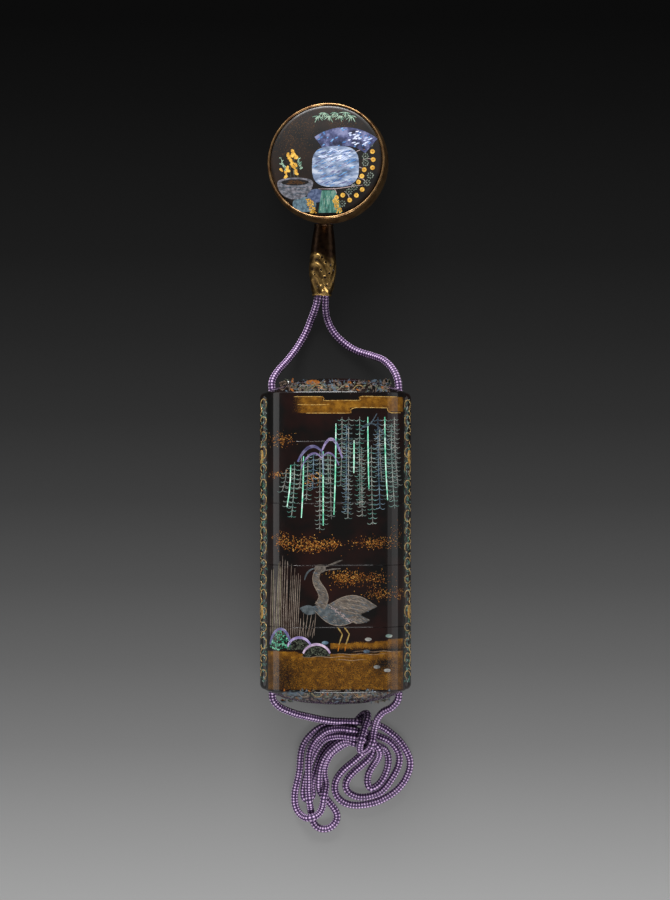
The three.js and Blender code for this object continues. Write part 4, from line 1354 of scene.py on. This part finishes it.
def domes(inlay, rng):
    """The domed ends: clouded grey and brown patches with a few thin scrolls, and a short pale line by the edge of the
    lower one.
    """
    for end in (1, -1):
        for k, line in enumerate(DOME_LINES):
            inlay.line(["umber", "pale", "scroll"][k % 3], [(x, end * y) for x, y in line], 0.16, 0.6, 0.25)
        spot = np.stack([rng.uniform(-16, 16, 240), end * (43.4 + rng.uniform(0, 3.2, 240))], -1)
        size = rng.uniform(0.3, 0.9, 240)
        for finish, share in (("umber", slice(0, 100)), ("slate", slice(100, 160)), ("moss", slice(160, 230)),
            ("flake", slice(230, 240))):
            inlay.flakes(finish, spot[share], size[share], rng, 1.9)
    round_patch(inlay, "flake", (-6.5, 46), (2, 0.7), 0.03)
    round_patch(inlay, "slate", (-12, -44.2), (3.5, 0.7), 0.02)
    inlay.line("pale", [(-4.5, -43.4), (-1.5, -43.4), (1.5, -43.4)], 0.16, 0.5)


def picture(finishes):
    rng = np.random.default_rng(7)
    inlay = Inlay(on_case, finishes)
    mist(inlay, rng)
    for line in CLOUD_LINES:
        inlay.line("gold", line, 0.26, 0.2)
    tree(inlay)
    hanging(inlay, rng)
    reeds(inlay, rng)
    bird(inlay, rng)
    rocks(inlay, rng)
    ridges(inlay, rng)
    domes(inlay, rng)
    inlay.finish("picture", SEAMS)


# ---- The picture on the toggle ----

PLATE_MIDDLE = (-2.7, 110.4)  # as drawn
SHELL_FAN = sector((2.5, 105), (9.5, 15), 50, 125)
SHELL_JAR = oval((0, 108.5), (6.8, 6), 3)
BASIN = oval((-11.7, 104), (5.2, 5), 2, 180, 360)
STONE = oval((-9, 97.5), (3.4, 2.2), 2.5)
BANK = oval((-5.6, 100), (2.6, 2))
FALL = [(-4, 101.5), (0, 101.5), (2, 95), (-5, 95)]
GOLD_BANDS = [[(x, 99), (x + 1.7, 99), (x + 3, 95), (x + 1.3, 95)] for x in (-8.5, -1)]
BLOSSOM_COUNT = 20


def round_patch(inlay, finish, centre, radii, rise):
    a = np.linspace(0, 2 * math.pi, 20, endpoint=False)
    inlay.patch(finish, np.column_stack([centre[0] + radii[0] * np.cos(a), centre[1] + radii[1] * np.sin(a)]), rise,
        True, 0.5)


def streaks(inlay, finish, rng, outline, count, direction, width, rise):
    """Short strokes side by side, inside an outline."""
    spot = scattered(rng, outline, count)
    step = np.array(direction) * rng.uniform(0.6, 1.2, (len(spot), 1))
    ends = np.stack([spot - step, spot, spot + step], 1)
    clear = inside(np.asarray(outline, float), ends[:, 0]) & inside(np.asarray(outline, float), ends[:, 2])
    inlay.strokes(finish, ends[clear], np.array([0.3, 1.0, 0.3]) * width, rise)


def toggle_picture(finishes):
    rng = np.random.default_rng(11)
    inlay = Inlay(on_plate, finishes)
    for j in range(7):
        x, y = -5 + 1.6 * j, 123.5 + j % 2
        for k in range(6):
            a = math.radians(-165 + k * 27 + rng.uniform(-8, 8))
            reach = rng.uniform(1.3, 2.3)
            half_way = (x + 0.5 * reach * math.cos(a), y + 0.5 * reach * math.sin(a) + 0.06)
            inlay.line("sprig", [(x, y), half_way, (x + reach * math.cos(a), y + reach * math.sin(a))], 0.26, 0.75,
                0.3)
    for cloud in ((-9.5, 119.5), (-13.5, 114), (2, 122.5)):
        spot = rng.normal(0, 1, (260, 2)) * [2.6, 3.6] + cloud
        spot = spot[np.hypot(*(spot - PLATE_MIDDLE).T) < 16.2]
        inlay.flakes("dust", spot, rng.uniform(0.12, 0.26, len(spot)), rng, 1.1, 0.02)
    inlay.patch("fan", SHELL_FAN, 0.1, False)
    # Painted highlight: white streaks across the right part of the shell fan, where it catches the light.
    streaks(inlay, "glint", rng, sector((2.5, 105), (10, 14.5), 52, 85), 40, (0.5, 0.12), 0.5, 0.12)
    streaks(inlay, "azure", rng, SHELL_FAN, 30, (0.4, 0.2), 0.55, 0.11)
    inlay.patch("jar", SHELL_JAR, 0.14, False)
    # Painted highlight: white streaks across the upper part of the shell jar.
    streaks(inlay, "glint", rng, oval((0, 112), (5.5, 2)), 60, (0.9, 0.32), 0.3, 0.16)
    streaks(inlay, "azure", rng, SHELL_JAR, 70, (0.9, 0.36), 0.34, 0.15)
    streaks(inlay, "violet", rng, SHELL_JAR, 40, (0.8, 0.34), 0.3, 0.155)
    petals = np.vstack([rng.normal(0, 1, (9, 2)) * [1.4, 0.7] + (-13, 112),
        rng.normal(0, 1, (12, 2)) * [1.5, 1.1] + (-12.5, 107.8)])
    petals = petals[np.hypot(*(petals - PLATE_MIDDLE).T) < 15]
    inlay.flakes("yellow", petals, np.full(len(petals), 1.15), rng, 1.1, 0.09)
    for x in (-13, -12, -11):
        inlay.line("moss", [(x, 111), (x - 0.2, 108), (x + 0.3, 104)], 0.26, 0.4)
    for x in (-15, -10):
        line = [(x - 0.8, 111), (x - 0.4, 109.5), (x + 0.4, 108)]
        inlay.line("sprig", line, 0.2, 0.4)
        spot = spline([(*p, 0) for p in line], 0.5)[:, :2]
        inlay.flakes("sprig", spot + rng.normal(0, 0.25, spot.shape), rng.uniform(0.3, 0.45, len(spot)), rng, 2.4)
    inlay.patch("basin", BASIN, 0.06)
    round_patch(inlay, "basin", (-11.7, 104), (5.2, 1.4), 0.08)
    round_patch(inlay, "black", (-11.7, 104), (4, 0.9), 0.1)
    spot = scattered(rng, oval((-11.7, 104), (3, 0.6)), 40)
    inlay.flakes("dust", spot, rng.uniform(0.3, 0.6, len(spot)), rng, 1.2, 0.11)
    streaks(inlay, "slate", rng, BASIN, 60, (0.8, -0.1), 0.2, 0.09)
    inlay.patch("blue_grey", STONE, 0.05)
    streaks(inlay, "slate", rng, STONE, 40, (0.1, 0.7), 0.2, 0.07)
    inlay.patch("violet_grey", BANK, 0.06)
    inlay.patch("fall", FALL, 0.07, False)
    streaks(inlay, "leaf", rng, FALL, 50, (0.08, 0.8), 0.22, 0.09)
    streaks(inlay, "sprig", rng, FALL, 30, (0.08, 0.8), 0.14, 0.095)
    for band in GOLD_BANDS:
        spot = scattered(rng, band, 70)
        inlay.flakes("yellow", spot, rng.uniform(0.35, 0.5, len(spot)), rng, 1.1, 0.11)
    for k in range(BLOSSOM_COUNT):
        a = math.radians(-75 + 95 * k / (BLOSSOM_COUNT - 1))
        ray = np.array([math.cos(a), math.sin(a)])
        centre = np.array(PLATE_MIDDLE) + (11.4 + 2.2 * (k % 2)) * ray
        if k % 3 == 0:
            inlay.line("pink_grey", [centre - 3 * ray, centre - 1.5 * ray + 0.3, centre], 0.24, 0.5)
        if k % 5 in (1, 4):
            turn = np.radians(np.arange(8) * 45)
            petals = centre + 0.78 * np.column_stack([np.cos(turn), np.sin(turn)])
            inlay.flakes("ring", petals, np.full(8, 0.5), rng, 1.1, 0.07)
            inlay.flakes("ring", centre[None], np.array([0.5]), rng, 1.0, 0.07)
        else:
            round_patch(inlay, "yellow", centre, (0.68, 0.68), 0.08)
            round_patch(inlay, "ember", centre, (0.2, 0.2), 0.1)
    inlay.line("pink_grey", [(-5, 102), (0, 102), (4, 102.5), (8, 103)], 0.24, 0.5)
    inlay.finish("toggle_picture")


def shell_finish(name, dark, mid, light, scale=0.5, stretch=(1, 1, 1)):
    """Nacre: patches and fine streaks of related tints under a gloss."""
    f = Finish(name)
    place = f.add("ShaderNodeVectorMath", {0: f.place(), 1: stretch}, operation="MULTIPLY").outputs[0]
    patches = f.noise(scale, 3.0, 0.6, place)
    colour = f.ramp(patches, (0.34, srgb(dark)), (0.5, srgb(mid)), (0.64, srgb(light)))
    f.set(Base_Color=colour, Roughness=0.3, Coat_Weight=0.6, Coat_Roughness=0.08, Specular_IOR_Level=0.6)
    return f.material


def metal_finish(name, dark, light, scale=1.5, metallic=0.7, roughness=0.38):
    """A thin metal foil or powder, uneven in tone."""
    f = Finish(name)
    f.set(Base_Color=f.ramp(f.noise(scale, 3.0, 0.6), (0.36, srgb(dark)), (0.64, srgb(light))), Metallic=metallic,
        Roughness=roughness)
    return f.material


def paint_finish(name, dark, light, scale=1.2):
    """Lacquer paint under a clear coat."""
    f = Finish(name)
    f.set(Base_Color=f.ramp(f.noise(scale, 2.0), (0.38, srgb(dark)), (0.62, srgb(light))), Roughness=0.35,
        Coat_Weight=0.5, Coat_Roughness=0.08)
    return f.material


def inlay_finishes():
    return {
        "gold": metal_finish("gold line", "#a8742c", "#e8c070", 1.2, 0.4),
        "scroll": metal_finish("pale gold scrolls", "#a07c48", "#d8b878", 1.2, 0.35),
        "flake": metal_finish("dull gold flakes", "#7a4210", "#b8702c", 1.6, 0.35),
        "spark": metal_finish("bright gold flakes", "#b87828", "#f0b860", 1.6, 0.35),
        "dust": metal_finish("brown gold powder", "#3c2610", "#5c3c1a", 1.2, 0.3),
        "yellow": metal_finish("bright gold foil", "#c08a2c", "#f4c458", 0.9, 0.3),
        "mint": shell_finish("pale green nacre", "#48c098", "#9cf0cc", "#e4fff4", 0.5),
        "leaf": shell_finish("green nacre leaves", "#2a6a5c", "#5a8a80", "#9aa8a0", 0.5),
        "teal": shell_finish("grey green nacre", "#3f625c", "#70807a", "#a0a49c", 0.4),
        "deep": shell_finish("deep green nacre", "#0c3028", "#17513f", "#2f7a60", 0.6),
        "blue": shell_finish("blue nacre", "#344858", "#506878", "#7c94a0", 0.4),
        "grey": shell_finish("grey nacre", "#565654", "#7c7c78", "#a8a49c", 0.6),
        "violet": shell_finish("violet nacre", "#44446c", "#625e88", "#8884a6", 0.35),
        "lilac": shell_finish("lilac nacre", "#6c6090", "#8c7cac", "#b8a8cc", 0.4),
        "pink": shell_finish("pink nacre", "#84708c", "#a890b0", "#d0bccc", 0.4),
        "chip": shell_finish("green nacre chips", "#164c38", "#349070", "#8cd8b0", 0.9),
        "moss": shell_finish("dark nacre chips", "#20241c", "#40463a", "#6c705e", 1.1),
        # A painted highlight on the shell, not a white shell of its own.
        "glint": shell_finish("nacre glint, a painted highlight", "#98a8d0", "#c8d4f0", "#f4f4ff", 0.6),
        "azure": shell_finish("blue shell streaks", "#2c4c88", "#4878b0", "#80b0d8", 0.6),
        "sprig": paint_finish("pale green leaves", "#5c8470", "#a4c0a8"),
        "ring": paint_finish("grey green blossoms", "#4c564c", "#7c867a"),
        "fan": shell_finish("nacre fan", "#1c1e34", "#40466c", "#787ca0", 0.4, (1, 0.8, 1)),
        "jar": shell_finish("nacre jar", "#4c5870", "#7c8ca8", "#b4bccc", 0.4, (0.7, 1.6, 1)),
        "fall": shell_finish("green shell water", "#24443c", "#3c6c60", "#6c8c80", 0.5, (2, 0.4, 1)),
        "basin": paint_finish("grey stone basin", "#48484e", "#76747c"),
        "blue_grey": paint_finish("blue grey stone", "#3c505c", "#5c7480"),
        "violet_grey": paint_finish("violet grey bank", "#34405c", "#54607c"),
        "pink_grey": metal_finish("pale pink grey lines", "#94807c", "#c4b0b0", 1.0, 0.2),
        "pewter": metal_finish("pewter", "#3c4448", "#60686c", 0.8, 0.3, 0.45),
        "wing": metal_finish("brown pewter", "#4c4640", "#746c64", 0.8, 0.3, 0.45),
        "umber": paint_finish("brown grey strokes", "#3c3028", "#6c5c50"),
        "slate": paint_finish("slate blue", "#34404a", "#54626e"),
        "pale": metal_finish("pale outlines", "#8c7c6c", "#b4a494", 1.0, 0.3),
        "reed": metal_finish("grey reeds", "#64564c", "#988a7e", 0.5, 0.3),
        "straw_pale": metal_finish("straw reeds", "#6c6450", "#a0967c", 0.5, 0.3),
        "straw": metal_finish("gilt legs", "#8a6c38", "#c8ac68", 0.8, 0.4),
        "sand": metal_finish("thin gold lines", "#6c5440", "#a48c70", 0.8, 0.3),
        "ember": paint_finish("brown gold strokes", "#6a3a08", "#a86414"),
        "black": paint_finish("black ground", "#060403", "#0c0807"),
    }


# ---- The set ----


def stage():
    size = 3000
    floor = piece("floor", [(-size, -size, -0.05), (size, -size, -0.05), (size, size, -0.05), (-size, size, -0.05)],
        [(0, 1, 2, 3)], [floor_finish()])

    camera = bpy.data.objects.new("camera", bpy.data.cameras.new("camera"))
    camera.data.lens, camera.data.sensor_width = LENS_FOCAL, SENSOR
    camera.location = [v * MM for v in LENS_PLACE]
    camera.data.clip_start = 0.05
    bpy.context.scene.collection.objects.link(camera)
    bpy.context.scene.camera = camera

    world = bpy.data.worlds.new("room")
    world.use_nodes = True
    world.node_tree.nodes["Background"].inputs[0].default_value = (0.035, 0.035, 0.037, 1)
    world.node_tree.nodes["Background"].inputs[1].default_value = 1.0
    bpy.context.scene.world = world

    softbox("key", (-150, 820, 430), (0, 40, 0), (620, 260), 14.0)
    softbox("fill", (120, -520, 420), (0, 0, 0), (500, 240), 4.0)
    softbox("left card", (-620, 20, 127), (0, 20, 127), (900, 254), 0.62)
    softbox("right card", (620, 20, 127), (0, 20, 127), (900, 254), 0.42)
    softbox("right card, upper", (620, 20, 330), (0, 20, 200), (900, 150), 0.14)


def softbox(name, place, target, size, power):
    data = bpy.data.lights.new(name, "AREA")
    data.shape, data.size, data.size_y, data.energy = "RECTANGLE", size[0] * MM, size[1] * MM, power
    light = bpy.data.objects.new(name, data)
    light.location = [v * MM for v in place]
    aim = Vector(target) - Vector(place)
    light.rotation_euler = aim.to_track_quat("-Z", "Y").to_euler()
    bpy.context.scene.collection.objects.link(light)


def main():
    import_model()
    stage()
    bpy.context.scene.view_settings.view_transform = "Standard"
    cord(silk_finish())
    cases(lacquer_finish())
    netsuke(rim_finish(), plate_finish())
    bead(bronze_finish())
    finishes = inlay_finishes()
    picture(finishes)
    toggle_picture(finishes)


main()
